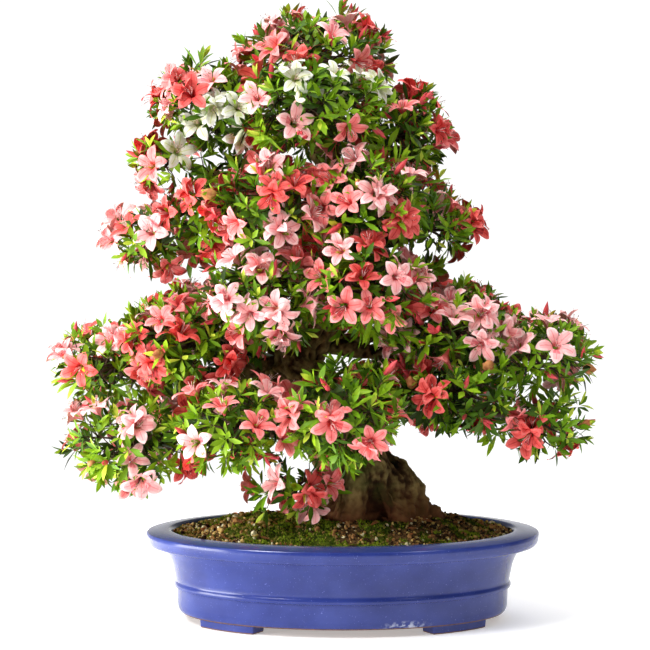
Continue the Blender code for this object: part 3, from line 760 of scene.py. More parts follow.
@dataclass
class MossySoil:
    """The mound of soil: moss in cushions, bare earth and grit between them, and a few fallen things."""

    pot: OvalPot
    top: float = 118 * MM
    edge: float = 106 * MM
    underside: float = 60 * MM
    trunk_foot: Vector = field(default_factory=lambda: Vector((54 * MM, 2 * MM, 0)))
    foot_reach: float = 70 * MM
    cushion: float = -25 * MM
    debris_from: float = -70 * MM
    rings: int = 64
    sides: int = 240
    tufts: int = 17000
    grains: int = 5200
    fallen: int = 60
    seed: int = 3

    def height(self, x: float, y: float) -> float:
        """Works out the height of the mound's surface over a point.

        Args:
            x: Sideways place.
            y: Depth place.

        Returns:
            The height, with its lumps and the collar of soil round the trunk.
        """
        long_half, short_half = self.pot.halves(self.pot.rim_width + 3 * MM)
        share = math.hypot((x - self.pot.centre.x) / long_half, y / short_half)
        rise = max(0.0, min(1.0, (1 - share) / 0.42))
        smooth = rise * rise * (3 - 2 * rise)
        level = self.edge - 2 * MM + (self.top - self.edge + 2 * MM) * smooth
        lumps = noise.noise(Vector((x, y, 0)) * 42) * 4.5 * MM
        lumps += noise.noise(Vector((x, y, 3)) * 110) * 2.6 * MM
        lumps += noise.noise(Vector((x, y, 5)) * 280) * 1.3 * MM
        away = math.hypot(x - self.trunk_foot.x, y - self.trunk_foot.y)
        collar = 4.5 * MM * math.exp(-(((away - self.foot_reach) / (26 * MM)) ** 2))
        return level + collar + lumps * min(1.0, (1 - share) * 8 + 0.1)

    def mossy(self, x: float, y: float) -> float:
        """Returns how mossy a point is, from bare earth below 0 to thick moss above it."""
        patches = noise.noise(Vector((x + 0.3, y, 7)) * 26) + 0.6 * noise.noise(Vector((x, y, 1)) * 85)
        return patches + 0.5 * math.exp(-(((x - self.cushion) / (70 * MM)) ** 2)) - 0.12

    def oval(self, inset: float, share: float, turn: float) -> Vector:
        """Finds a point on an oval inside the pot.

        Args:
            inset: Of the whole oval, from the rim's outer edge.
            share: Of the way from the middle to the oval.
            turn: Round the oval, in radians.

        Returns:
            The point, at height 0.
        """
        long_half, short_half = self.pot.halves(inset)
        x = self.pot.centre.x + long_half * share * math.cos(turn)
        return Vector((x, short_half * share * math.sin(turn), 0))

    def ground(self) -> bpy.types.Object:
        """Builds the mound as one closed skin, with its underside well inside the pot.

        Returns:
            The mound, with slots for earth and moss.
        """
        centre = self.pot.centre
        points = [(centre.x, centre.y, self.height(centre.x, centre.y))]
        turns = [math.tau * side / self.sides for side in range(self.sides)]
        for ring in range(1, self.rings + 1):
            for turn in turns:
                spot = self.oval(self.pot.rim_width + 2.6 * MM, ring / self.rings, turn)
                points.append((spot.x, spot.y, self.height(spot.x, spot.y)))
        for turn in turns:
            spot = self.oval(self.pot.rim_width + 14 * MM, 1, turn)
            points.append((spot.x, spot.y, self.underside))
        points.append((centre.x, centre.y, self.underside))
        last = len(points) - 1
        faces = []
        for side in range(self.sides):
            after = (side + 1) % self.sides
            faces.append((0, 1 + side, 1 + after))
            faces.append((last - self.sides + side, last, last - self.sides + after))
            for ring in range(self.rings):
                a, b = 1 + ring * self.sides + side, 1 + ring * self.sides + after
                faces += [(a, a + self.sides, b + self.sides), (a, b + self.sides, b)]
        slots = [1 if self.mossy(*points[face[0]][:2]) > 0 else 0 for face in faces]
        # The skins are dark, the soil near black: the soil's and moss's own colours, darkened to paint the
        # shade in the gaps between tufts and grains
        finishes = (
            Mottled("bonsai_soil_moist_shaded", "#20160A", "#6A5030", 5, 0.95, bump=0.9, grain_mm=3, sheen=0.1),
            Mottled("moss_bed", "#26300A", "#525E18", 7, 0.95, bump=0.9, sheen=0.1),
        )
        skin = Shape(points, faces, slots)
        return mesh_object("soil_mound", skin, [finish.material() for finish in finishes])

    def tuft(self, rng: random.Random) -> Shape:
        """Builds one tuft of moss: a star of short blades that lean outwards.

        Args:
            rng: The seeded random numbers.

        Returns:
            The tuft.
        """
        points, faces = [], []
        for i in range(6):
            turn = i * math.tau / 6 + rng.uniform(-0.4, 0.4)
            lean, tall = rng.uniform(0.6, 1.8) * MM, rng.uniform(1.0, 2.6) * MM
            side = Vector((-math.sin(turn), math.cos(turn), 0)) * 0.5 * MM
            out = Vector((math.cos(turn), math.sin(turn), 0))
            first = len(points)
            points += [out * 0.2 * MM - side, out * 0.2 * MM + side, out * lean + UP * tall]
            faces.append((first, first + 1, first + 2))
        return Shape([tuple(p) for p in points], faces, [0] * len(faces))

    def grain(self, rng: random.Random) -> Shape:
        """Builds one angular grain of fired clay or bark.

        Args:
            rng: The seeded random numbers.

        Returns:
            The grain, about 1 m in radius before it is scaled.
        """
        bm = bmesh.new()
        bmesh.ops.create_icosphere(bm, subdivisions=1, radius=1)
        for vertex in bm.verts:
            vertex.co *= rng.uniform(0.75, 1.15)
        faces = [[v.index for v in f.verts] for f in bm.faces]
        shape = Shape([tuple(v.co) for v in bm.verts], faces, [0] * len(faces))
        bm.free()
        return shape

    def spots(self, count: int, rng: random.Random) -> Iterator[Vector]:
        """Yields points over the mound, as a golden spiral with a little scatter.

        Args:
            count: How many.
            rng: The seeded random numbers.

        Yields:
            Each point, on the surface.
        """
        for i in range(count):
            share = math.sqrt((i + rng.random()) / count)
            turn = i * GOLDEN_ANGLE + rng.uniform(-0.2, 0.2)
            spot = self.oval(self.pot.rim_width + 4 * MM, share, turn)
            spot.z = self.height(spot.x, spot.y)
            yield spot

    def moss(self, rng: random.Random) -> Batch:
        """Strews tufts where the ground is mossy, deep green, fresh or dry.

        Args:
            rng: The seeded random numbers.

        Returns:
            The tufts.
        """
        greens = (
            Mottled("moss_tuft_deep", "#36490B", "#4A5E10", 8, 0.9, sheen=0.1),
            Mottled("moss_tuft_fresh", "#7A941C", "#9CAE34", 8, 0.9, sheen=0.1),
            Mottled("moss_tuft_dry", "#8A7430", "#C0AC62", 8, 0.9, sheen=0.1),
        )
        tufts = [self.tuft(rng) for _ in range(10)]
        batch = Batch("moss_tufts", greens, smooth=False)
        for spot in self.spots(self.tufts, rng):
            if self.mossy(spot.x, spot.y) > rng.uniform(-0.12, 0.1):
                turned = Matrix.Rotation(rng.uniform(0, math.tau), 4, "Z")
                matrix = Matrix.Translation(spot - UP * 0.3 * MM) @ turned
                fresh = noise.noise(Vector((spot.x, spot.y, 9)) * 60) + rng.uniform(-0.4, 0.4)
                dry = 4 if spot.x < self.debris_from else 1
                shade = 1 if fresh > 0.05 else rng.choices((0, 2), (4, dry))[0]
                tuft = rng.choice(tufts)
                batch.add(tuft, matrix @ Matrix.Scale(rng.uniform(0.7, 1.5), 4), np.array([shade]))
        return batch

    def grit(self, rng: random.Random) -> Batch:
        """Strews grains where the ground is bare: clay, crumbs of bark and ochre chips.

        Args:
            rng: The seeded random numbers.

        Returns:
            The grains.
        """
        earths = (
            Mottled("clay_grain_brown", "#7E5630", "#A87C4A", 3, 0.9, sheen=0.1),
            Mottled("bark_crumb_dark", "#1A120A", "#3C2A16", 3, 0.9, sheen=0.1),
            Mottled("clay_grain_ochre", "#B08C48", "#D4B874", 3, 0.9, sheen=0.1),
            Mottled("pumice_grain_pale", "#C8BC90", "#E8DEB8", 3, 0.9, sheen=0.1),
        )
        grains = [self.grain(rng) for _ in range(8)]
        batch = Batch("soil_grit", earths, smooth=False)
        for spot in self.spots(self.grains, rng):
            if self.mossy(spot.x, spot.y) < rng.uniform(0.0, 0.3):
                pale = 3 if spot.x < self.debris_from else 1
                lump = rng.random() < 0.04 * pale
                size = rng.uniform(0.7, 2.6) * MM * (2.0 if lump else 1.0)
                turn = rng.uniform(0, math.tau)
                turned = Matrix.Rotation(turn, 4, Vector((rng.random(), 1, rng.random())))
                wide, tall = size * rng.uniform(0.5, 1), size * rng.uniform(0.4, 0.8)
                squash = Matrix.Diagonal((size, wide, tall, 1))
                matrix = Matrix.Translation(spot + UP * 0.4 * size) @ turned @ squash
                shade = rng.choices((0, 1, 2, 3), (6, 4, 3 * pale, pale))[0]
                batch.add(rng.choice(grains), matrix, np.array([shade]))
        return batch

    def litter(self, rng: random.Random) -> Batch:
        """Lays a few fallen leaves on the mound.

        Args:
            rng: The seeded random numbers.

        Returns:
            The fallen leaves.
        """
        finishes = (
            Mottled("leaf_fallen_brown", "#7A4A26", "#9A6234", 5, 0.8),
            Mottled("leaf_fallen_orange", "#B5642C", "#CC7E42", 5, 0.8),
            Mottled("leaf_fallen_yellow", "#B9A24A", "#CDB964", 5, 0.8),
        )
        leaf_kit = LeafKit()
        batch = Batch("fallen_leaves", finishes)
        for spot in self.spots(self.fallen, rng):
            length, width = rng.uniform(11, 19) * MM, rng.uniform(4, 7) * MM
            leaf = leaf_kit.leaf(length, width, 0.4, rng.uniform(-0.2, 0.2), 0)
            pitch = Matrix.Rotation(rng.uniform(-0.35, 0.35), 4, "Y")
            tilt = pitch @ Matrix.Rotation(rng.uniform(-0.4, 0.4), 4, "X")
            lifted = Matrix.Translation(spot + UP * 2.2 * MM)
            matrix = lifted @ Matrix.Rotation(rng.uniform(0, math.tau), 4, "Z")
            batch.add(leaf, matrix @ tilt, np.array([rng.choices((0, 1, 2), (5, 3, 2))[0]]))
        return batch

    def build(self) -> None:
        """Builds the mound, its moss, its grit and what has fallen on it."""
        rng = random.Random(self.seed)
        settle(self.ground(), Slot.MOSS, "soil")
        for batch in (self.moss(rng), self.grit(rng), self.litter(rng)):
            for piece in batch.pieces():
                settle(piece, Slot.MOSS)


# The strains that are dealt out shoot by shoot, and how each kind of mass weighs them
DEALT_STRAINS = (Strain.PALE, Strain.CORAL, Strain.DEEP)
ROSY = (3, 5, 3)
BLUSH = (6, 4, 1)
GLOWING = (2, 4, 6)


@dataclass(frozen=True)
class Pad:
    """A mass of foliage: an ellipsoid of space, and the limb that carries it.

    place and size are the ellipsoid's middle and half axes, joins is the height at which the limb leaves
    the trunk, sag how far it hangs and limb its radius at the trunk, all in millimetres. bloom sets how
    many of the outer shoots flower, and colours weighs the strains pale, coral and deep. airy is how
    much further apart its shoots stand, and shaded says that its leaves are the darker ones.
    """

    name: str
    place: tuple
    size: tuple
    joins: float
    sag: float
    limb: float
    bloom: float
    colours: tuple = ROSY
    airy: float = 1.0
    shaded: bool = False

    @property
    def middle(self) -> Vector:
        """The ellipsoid's middle, in metres."""
        return Vector(self.place) * MM

    @property
    def radii(self) -> Vector:
        """The ellipsoid's half axes, in metres."""
        return Vector(self.size) * MM

    def at(self, direction: Vector, share: float) -> Vector:
        """Returns the point at this share of the ellipsoid's radius, in a direction from its middle."""
        return self.middle + Vector(r * d for r, d in zip(self.radii, direction)) * share

    def share_of(self, point: Vector) -> float:
        """Returns how far out a point lies, from 0 at the middle to 1 on the ellipsoid."""
        offset = point - self.middle
        return Vector(o / r for o, r in zip(offset, self.radii)).length

    def surface(self) -> float:
        """Works out the ellipsoid's surface, by the usual near formula.

        Returns:
            The surface in square metres.
        """
        a, b, c = self.radii
        power = 1.6
        sides = [(a * b) ** power, (a * c) ** power, (b * c) ** power]
        return 4 * math.pi * (sum(sides) / 3) ** (1 / power)


PADS = (
    Pad("low_left", (-224, -48, 217), (80, 82, 64), 252, 4, 12, 0.2, BLUSH, airy=1.1),
    Pad("low_front_left", (-96, -126, 244), (80, 66, 60), 236, 16, 8, 0.2, GLOWING, airy=1.05),
    Pad("low_front", (14, -138, 258), (80, 64, 67), 226, 12, 8, 0.2, ROSY),
    Pad("low_right", (154, -66, 276), (86, 84, 52), 262, -6, 9, 0.07, GLOWING, shaded=True),
    Pad("low_right_tip", (252, -42, 240), (60, 74, 50), 236, -14, 12, 0.05, GLOWING, airy=1.1, shaded=True),
    Pad("low_back_left", (-128, 122, 252), (98, 78, 56), 262, 8, 10, 0.26),
    Pad("low_back_right", (122, 122, 268), (100, 78, 52), 232, 8, 10, 0.26),
    Pad("wide_left_tip", (-252, -4, 303), (68, 84, 56), 305, 18, 12, 0.22, ROSY, airy=1.05),
    Pad("wide_left", (-160, -42, 330), (84, 86, 58), 338, 6, 8, 0.42, ROSY),
    Pad("wide_right", (150, -44, 344), (82, 88, 54), 366, 2, 9, 0.52, BLUSH),
    Pad("wide_right_tip", (246, -14, 316), (74, 90, 52), 330, 16, 11, 0.46, BLUSH),
    Pad("wide_back_left", (-142, 114, 344), (96, 80, 52), 322, 10, 9, 0.3),
    Pad("wide_back_right", (146, 116, 344), (96, 80, 52), 332, 10, 9, 0.3),
    Pad("mid_front_left", (-66, -104, 386), (80, 68, 62), 362, 4, 7, 0.66, BLUSH, airy=1.05),
    Pad("mid_front_right", (44, -106, 398), (76, 66, 68), 384, 2, 7, 0.62, ROSY),
    Pad("mid_right", (90, 6, 416), (56, 84, 46), 396, 0, 6, 0.5, ROSY),
    Pad("mid_back", (-4, 122, 408), (94, 68, 56), 378, 4, 8, 0.3),
    Pad("upper_left_tip", (-204, -6, 450), (56, 70, 42), 424, 12, 8, 0.32, BLUSH, airy=1.1),
    Pad("upper_left", (-130, -22, 478), (70, 80, 56), 458, 2, 7, 0.36, ROSY, airy=1.08),
    Pad("upper_front_left", (-60, -94, 490), (76, 66, 62), 472, 2, 6, 0.62, GLOWING, airy=1.08),
    Pad("upper_front_right", (46, -92, 494), (74, 66, 62), 486, 2, 6, 0.7, BLUSH),
    Pad("upper_right", (126, -6, 464), (58, 78, 46), 446, 14, 9, 0.5, GLOWING),
    Pad("upper_back_left", (-78, 96, 492), (82, 70, 58), 468, 2, 6, 0.3),
    Pad("upper_back_right", (76, 96, 494), (82, 70, 58), 478, 2, 6, 0.3),
    Pad("lobe_left", (-188, 0, 542), (50, 60, 36), 520, 10, 6, 0.34, ROSY),
    Pad("shoulder_left", (-124, -6, 606), (82, 82, 58), 566, 4, 6, 0.34, ROSY),
    Pad("shoulder_front", (-14, -76, 602), (92, 64, 62), 578, 2, 5, 0.3, ROSY),
    Pad("shoulder_right", (90, -4, 572), (58, 82, 62), 556, 2, 6, 0.44, GLOWING),
    Pad("shoulder_back", (-14, 78, 602), (92, 66, 58), 592, 2, 5, 0.34, ROSY),
    Pad("apex", (-12, 0, 660), (96, 86, 58), 627, 0, 7, 0.42, GLOWING),
    Pad("front_sprig", (-36, -88, 168), (54, 36, 46), 128, 0, 3, 0.6, ROSY, airy=1.1),
)

# The trunk's middle line: height, sideways place, depth place and radius, in millimetres
TRUNK_STATIONS = (
    (118, 50, 2, 52),
    (150, 50, 0, 51),
    (200, 35, -4, 47),
    (256, -10, -2, 40),
    (302, -44, 6, 35),
    (342, -16, 10, 31),
    (392, 12, 4, 27),
    (452, 2, -6, 22),
    (515, 11, 0, 17),
    (580, -4, 5, 12.5),
    (628, -9, 0, 9),
)


def trunk_point(height: float) -> Vector:
    """Finds a point of the trunk's middle line, on a smooth curve through its stations.

    Args:
        height: Over the ground, in metres.

    Returns:
        The point.
    """
    rows = [Vector((x, y, z)) * MM for z, x, y, _ in TRUNK_STATIONS]
    last = len(rows) - 1
    height = min(max(height, rows[0].z), rows[last].z)
    k = max(i for i in range(last) if rows[i].z <= height)
    a, b = rows[k], rows[k + 1]
    before, after = rows[max(k - 1, 0)], rows[min(k + 2, last)]
    t = (height - a.z) / (b.z - a.z)
    slope_a = (b - before) * ((b.z - a.z) / (b.z - before.z))
    slope_b = (after - a) * ((b.z - a.z) / (after.z - a.z))
    found = (
        a * (2 * t**3 - 3 * t**2 + 1)
        + slope_a * (t**3 - 2 * t**2 + t)
        + b * (3 * t**2 - 2 * t**3)
        + slope_b * (t**3 - t**2)
    )
    return Vector((found.x, found.y, height))


class Limb:
    """The way from the trunk to the middle of a pad, as in the solids."""

    def __init__(self, pad: Pad) -> None:
        """Works out the way and where it enters the pad.

        Args:
            pad: The mass that the limb carries.
        """
        self.pad = pad
        self.start = trunk_point(pad.joins * MM)
        self.end = pad.middle
        way = self.end - self.start
        self.first = self.start + way * 0.38 - UP * pad.sag * MM + DEPTH * 0.05 * way.x
        self.second = self.start + way * 0.74 - UP * pad.sag * 1.2 * MM - DEPTH * 0.03 * way.x
        self.thick = pad.limb * MM
        shares = [i / 200 for i in range(201)]
        self.entry = next((t for t in shares if pad.share_of(self.point(t)) <= 0.92), 1.0)

    def point(self, t: float) -> Vector:
        """Finds a point along the way.

        Args:
            t: From 0 in the trunk to 1 in the pad's middle.

        Returns:
            The point.
        """
        s = 1 - t
        return (
            self.start * s**3
            + self.first * 3 * s * s * t
            + self.second * 3 * s * t * t
            + self.end * t**3
        )

    def radius(self, t: float) -> float:
        """Returns the limb's radius at t."""
        return self.thick * ((1 - 0.6 * t) + 0.25 * math.exp(-9 * t))


class Cell:
    """The convex space that one pad keeps to, bounded by a plane towards each other pad."""

    def __init__(self, pad: Pad) -> None:
        """Works out the planes.

        Args:
            pad: The mass that keeps to this space.
        """
        self.middle = pad.middle
        self.planes = []
        for other in PADS:
            if other is pad:
                continue
            away = other.middle - pad.middle
            pairs = zip(away, pad.radii, other.radii)
            normal = Vector(a / (p * p + q * q) for a, p, q in pairs).normalized()
            own = Vector(n * r for n, r in zip(normal, pad.radii)).length
            theirs = Vector(n * r for n, r in zip(normal, other.radii)).length
            self.planes.append((normal, normal.dot(away) * own / (own + theirs)))

    def depth(self, point: Vector) -> float:
        """Returns how far inside the cell a point is, less than 0 outside it."""
        offset = point - self.middle
        return min(limit - normal.dot(offset) for normal, limit in self.planes)


def even_directions(count: int, turn: float) -> Iterator[Vector]:
    """Yields directions spread evenly over a sphere, on a golden spiral.

    Args:
        count: How many.
        turn: Where the spiral starts, in radians.

    Yields:
        Each direction, of length 1.
    """
    for i in range(count):
        z = 1 - (2 * i + 1) / count
        flat = math.sqrt(1 - z * z)
        angle = turn + i * GOLDEN_ANGLE
        yield Vector((flat * math.cos(angle), flat * math.sin(angle), z))


def facing(place: Vector, axis: Vector, turn: float, size: float = 1.0) -> Matrix:
    """Returns the matrix that sets a shape at a place, looking along an axis."""
    turned = axis.to_track_quat("Z", "Y").to_matrix().to_4x4() @ Matrix.Rotation(turn, 4, "Z")
    return Matrix.Translation(place) @ turned @ Matrix.Scale(size, 4)


def thread(path: list[Vector], radii: list[float], slot: int) -> Shape:
    """Builds a three-sided tube along a path.

    Args:
        path: Its middle line.
        radii: Its radius at each point of the path.
        slot: Its material slot.

    Returns:
        The closed tube.
    """
    points, faces = [], []
    for i, (place, radius) in enumerate(zip(path, radii)):
        along = (path[min(i + 1, len(path) - 1)] - path[max(i - 1, 0)]).normalized()
        side = along.cross(UP if abs(along.z) < 0.9 else DEPTH).normalized()
        deep = along.cross(side)
        for k in range(3):
            turn = math.tau * k / 3
            points.append(tuple(place + (side * math.cos(turn) + deep * math.sin(turn)) * radius))
    for i in range(len(path) - 1):
        for k in range(3):
            a, b = 3 * i + k, 3 * i + (k + 1) % 3
            faces += [(a, b, b + 3), (a, b + 3, a + 3)]
    faces += [(0, 2, 1), (len(points) - 3, len(points) - 2, len(points) - 1)]
    return Shape(points, faces, [slot] * len(faces))


@dataclass
class LeafKit:
    """Whorls of lance-shaped leaves, folded along the midrib, round a shoot's tip."""

    length: float = 27 * MM
    width: float = 7.2 * MM
    variants: int = 14
    seed: int = 5

    def leaf(self, length: float, width: float, fold: float, curl: float, slot: int) -> Shape:
        """Builds one leaf along +X.

        Args:
            length: From its foot to its point.
            width: At its widest.
            fold: How far each half rises from the midrib, as a share of its width.
            curl: How far the point bends down, as a share of the length.
            slot: The material slot of the whole leaf.

        Returns:
            A leaf of twelve triangles.
        """
        stations = ((0.24, 0.55), (0.56, 1.0), (0.82, 0.58))
        points = [(0, 0, 0)]
        for t, wide in stations:
            half = width / 2 * wide
            drop = -curl * length * t * t
            points += [
                (length * t, -half, drop + fold * half),
                (length * t, 0, drop),
                (length * t, half, drop + fold * half),
            ]
        points.append((length, 0, -curl * length))
        faces = [(0, 1, 2), (0, 2, 3)]
        for i in (1, 4):
            faces += [(i, i + 3, i + 4), (i, i + 4, i + 1), (i + 1, i + 4, i + 5), (i + 1, i + 5, i + 2)]
        faces += [(7, 10, 8), (8, 10, 9)]
        return Shape(points, faces, [slot] * len(faces))

    def whorl(self, rng: random.Random, count: int, shoot: bool) -> Shape:
        """Builds a whorl: older leaves spread wide, and young ones stand up in the middle.

        Args:
            rng: The seeded random numbers.
            count: How many leaves.
            shoot: Whether it is a young shoot, whose leaves climb its stem and stand up.

        Returns:
            The whorl, round +Z, with slots old, middle and young.
        """
        leaves = []
        for i in range(count):
            youth = i / count
            length = self.length * rng.uniform(0.72, 1.15) * (1 - 0.4 * youth)
            rise = math.radians(rng.uniform(2, 24) + 52 * youth + (22 if shoot else 0))
            slot = 2 if youth > 0.7 else rng.choice((0, 0, 1))
            blade = self.leaf(
                length,
                self.width * rng.uniform(0.8, 1.15) * (1 - 0.3 * youth),
                rng.uniform(0.15, 0.5),
                rng.uniform(0.0, 0.24),
                slot,
            )
            climb = (1.6 if shoot else 1.0) * MM
            place = (
                Matrix.Translation((0, 0, (i - count * 0.6) * climb))
                @ Matrix.Rotation(i * GOLDEN_ANGLE + rng.uniform(-0.35, 0.35), 4, "Z")
                @ Matrix.Rotation(-min(rise, 1.35), 4, "Y")
                @ Matrix.Rotation(rng.uniform(-0.5, 0.5), 4, "X")
                @ Matrix.Translation((1.0 * MM, 0, 0))
            )
            leaves.append(blade.moved(place))
        return Shape.joined(leaves)

    def whorls(self) -> list[Shape]:
        """Returns the variants of the whorl. Every third is a young shoot."""
        rng = random.Random(self.seed)
        return [self.whorl(rng, rng.choice((7, 8, 9)), i % 3 == 2) for i in range(self.variants)]


@dataclass
class FlowerKit:
    """Open funnel flowers of five petals, with long stamens, and their buds."""

    variants: int = 12
    seed: int = 9
    # Radius, height and half width of a petal along its middle line, in millimetres. The petals are
    # one funnel up to the third row, and part above it into pointed lobes
    rows: tuple = (
        (1.5, -15, 1.1),
        (2.6, -8.5, 1.9),
        (4.8, -3.2, 3.5),
        (8.2, 0.4, 5.9),
        (12.2, 2.6, 7.0),
        (16.2, 3.6, 6.5),
        (19.8, 3.5, 4.8),
        (22.4, 2.7, 2.6),
        (24.0, 2.0, 0.6),
    )

    def petal(self, rng: random.Random, upper: bool) -> Shape:
        """Builds one petal, with slots throat, blade, margin and, on the upper petal, the blotch.

        Args:
            rng: The seeded random numbers.
            upper: Whether it is the petal that carries the freckled blotch.

        Returns:
            The petal along +X.
        """
        across = (-1.0, -0.58, -0.1, 0.1, 0.58, 1.0)
        wave, phase = rng.uniform(0.2, 1.0) * MM, rng.uniform(0, math.tau)
        bend = rng.uniform(-3.4, 2.4) * MM
        length, wide = rng.uniform(0.92, 1.07), rng.uniform(0.9, 1.06)
        twist = rng.uniform(-1.2, 1.2) * MM
        points, faces, slots = [], [], []
        last = len(self.rows) - 1
        for k, (radius, height, half) in enumerate(self.rows):
            t = k / last
            for c in across:
                lift = bend * t * t + wave * t * math.sin(6 * t + phase + 2 * c) * abs(c)
                groove = 0.7 * MM * abs(c) * t - 1.5 * MM * c * c * t * t + twist * c * t
                points.append((radius * length * MM, c * half * wide * MM, height * MM + lift + groove))
        width = len(across)
        for k in range(last):
            for j in range(width - 1):
                a = k * width + j
                b, c, d = a + 1, a + width, a + width + 1
                faces += [(a, c, d), (a, d, b)]
                slots += [self.part_of(k, abs(j - 2), upper)] * 2
        return Shape(points, faces, slots)

    @staticmethod
    def part_of(row: int, aside: int, upper: bool) -> int:
        """Finds the part of a petal that a face belongs to.

        Args:
            row: The face's row, from the throat outwards.
            aside: How many faces it lies beside the middle one.
            upper: Whether it is the petal that carries the blotch.

        Returns:
            The slot: 0 throat and vein, 1 blade, 2 margin and 3 blotch.
        """
        if row < 2 or (aside == 0 and row < 6):
            return 0
        if upper and aside == 1 and row in (2, 3):
            return 3
        if row < 4 or (aside < 2 and row < 6):
            return 1
        return 2

    def stamens(self, rng: random.Random) -> Shape:
        """Builds five stamens with their anthers and one longer style, that curve up.

        Args:
            rng: The seeded random numbers.

        Returns:
            The stamens and the style, with slots thread and anther.
        """
        made = []
        for i in range(6):
            turn = math.tau * i / 5 + rng.uniform(-0.5, 0.5)
            reach = (11 if i else 17) * MM * rng.uniform(0.85, 1.1)
            tip = Vector((0.42 * math.cos(turn) + 0.3, 0.42 * math.sin(turn), 1.0)).normalized() * reach
            middle = tip * 0.5 + Vector((-0.8 * MM, 0, 0))
            root = Vector((0, 0, -9 * MM))
            made.append(thread([root, middle, tip], [0.32 * MM, 0.28 * MM, 0.24 * MM], 0))
            end = tip + (tip - middle).normalized() * 1.1 * MM
            made.append(thread([tip, end], [0.5 * MM, 0.4 * MM], 1 if i else 0))
        return Shape.joined(made)

    def flower(self, rng: random.Random) -> Shape:
        """Builds the petals of one flower. The upper petal, on +X, carries the blotch.

        Args:
            rng: The seeded random numbers.

        Returns:
            The petals, round +Z.
        """
        petals = []
        for i in range(5):
            turn = math.radians(72 * i + rng.uniform(-5, 5))
            petals.append(self.petal(rng, i == 0).moved(Matrix.Rotation(turn, 4, "Z")))
        return Shape.joined(petals)

    def bud(self, rng: random.Random) -> Shape:
        """Builds one slender pointed bud, slightly spiral, in a cup of green scales.

        Args:
            rng: The seeded random numbers.

        Returns:
            The bud, along +Z, with slots bud and scale.
        """
        rows = ((0, 1.3), (3, 2.3), (9, 3.5), (16, 2.9), (24, 0.4))
        bend = rng.uniform(-2.0, 2.0)
        points, faces, slots = [], [], []
        sides = 6
        for k, (height, radius) in enumerate(rows):
            for i in range(sides):
                turn = math.tau * i / sides + k * 0.35
                lean = bend * (height / 24) ** 2
                place = (radius * math.cos(turn) + lean, radius * math.sin(turn), height)
                points.append(tuple(v * MM for v in place))
        for k in range(len(rows) - 1):
            for i in range(sides):
                a, b = k * sides + i, k * sides + (i + 1) % sides
                faces += [(a, b, b + sides), (a, b + sides, a + sides)]
                slots += [1 if k == 0 else 0] * 2
        return Shape(points, faces, slots)


@dataclass
class Head:
    """The tip of one shoot: where it is, which way it looks, and how deep in its mass it lies.

    A bare shoot has lost its leaves, a long one stands out of its mass, and a root is where on the limb
    a shoot starts that doesn't grow from a branch.
    """

    place: Vector
    axis: Vector
    depth: float
    pad: Pad
    blooms: int = 0
    bare: bool = False
    long: bool = False
    root: Vector | None = None

    def is_white(self) -> bool:
        """Returns whether it grows where the flowers are white."""
        return any(zone.holds(self.place) for zone in WHITE_ZONES)


@dataclass(frozen=True)
class Zone:
    """An ellipsoid of space, in millimetres."""

    place: tuple
    size: tuple

    def holds(self, point: Vector) -> bool:
        """Returns whether a point lies in the zone."""
        offset = point / MM - Vector(self.place)
        return Vector(o / s for o, s in zip(offset, self.size)).length < 1


# The window on the old trunk, the sky through it, the slit at the right and the two at the left
OPENINGS = (
    Zone((-44, -120, 312), (44, 110, 30)),
    Zone((-16, 0, 318), (26, 260, 16)),
    Zone((104, 0, 436), (44, 260, 15)),
    Zone((-222, 0, 392), (60, 260, 16)),
    Zone((-232, 0, 506), (50, 260, 14)),
)
# Where the twigs are bare: under the right-hand branch, close to the trunk
BARE_ZONES = (Zone((100, -66, 222), (34, 90, 14)),)
# The twigs that have turned to white flowers
WHITE_ZONES = (
    Zone((6, -84, 626), (54, 76, 36)),
    Zone((-116, -60, 588), (32, 64, 36)),
    Zone((-178, -30, 550), (20, 60, 18)),
)


@dataclass(frozen=True)
class Layer:
    """A layer of shoot tips in each mass: how far apart they stand, and how deep in its surface."""

    spacing: float
    inset: float
    spread: float


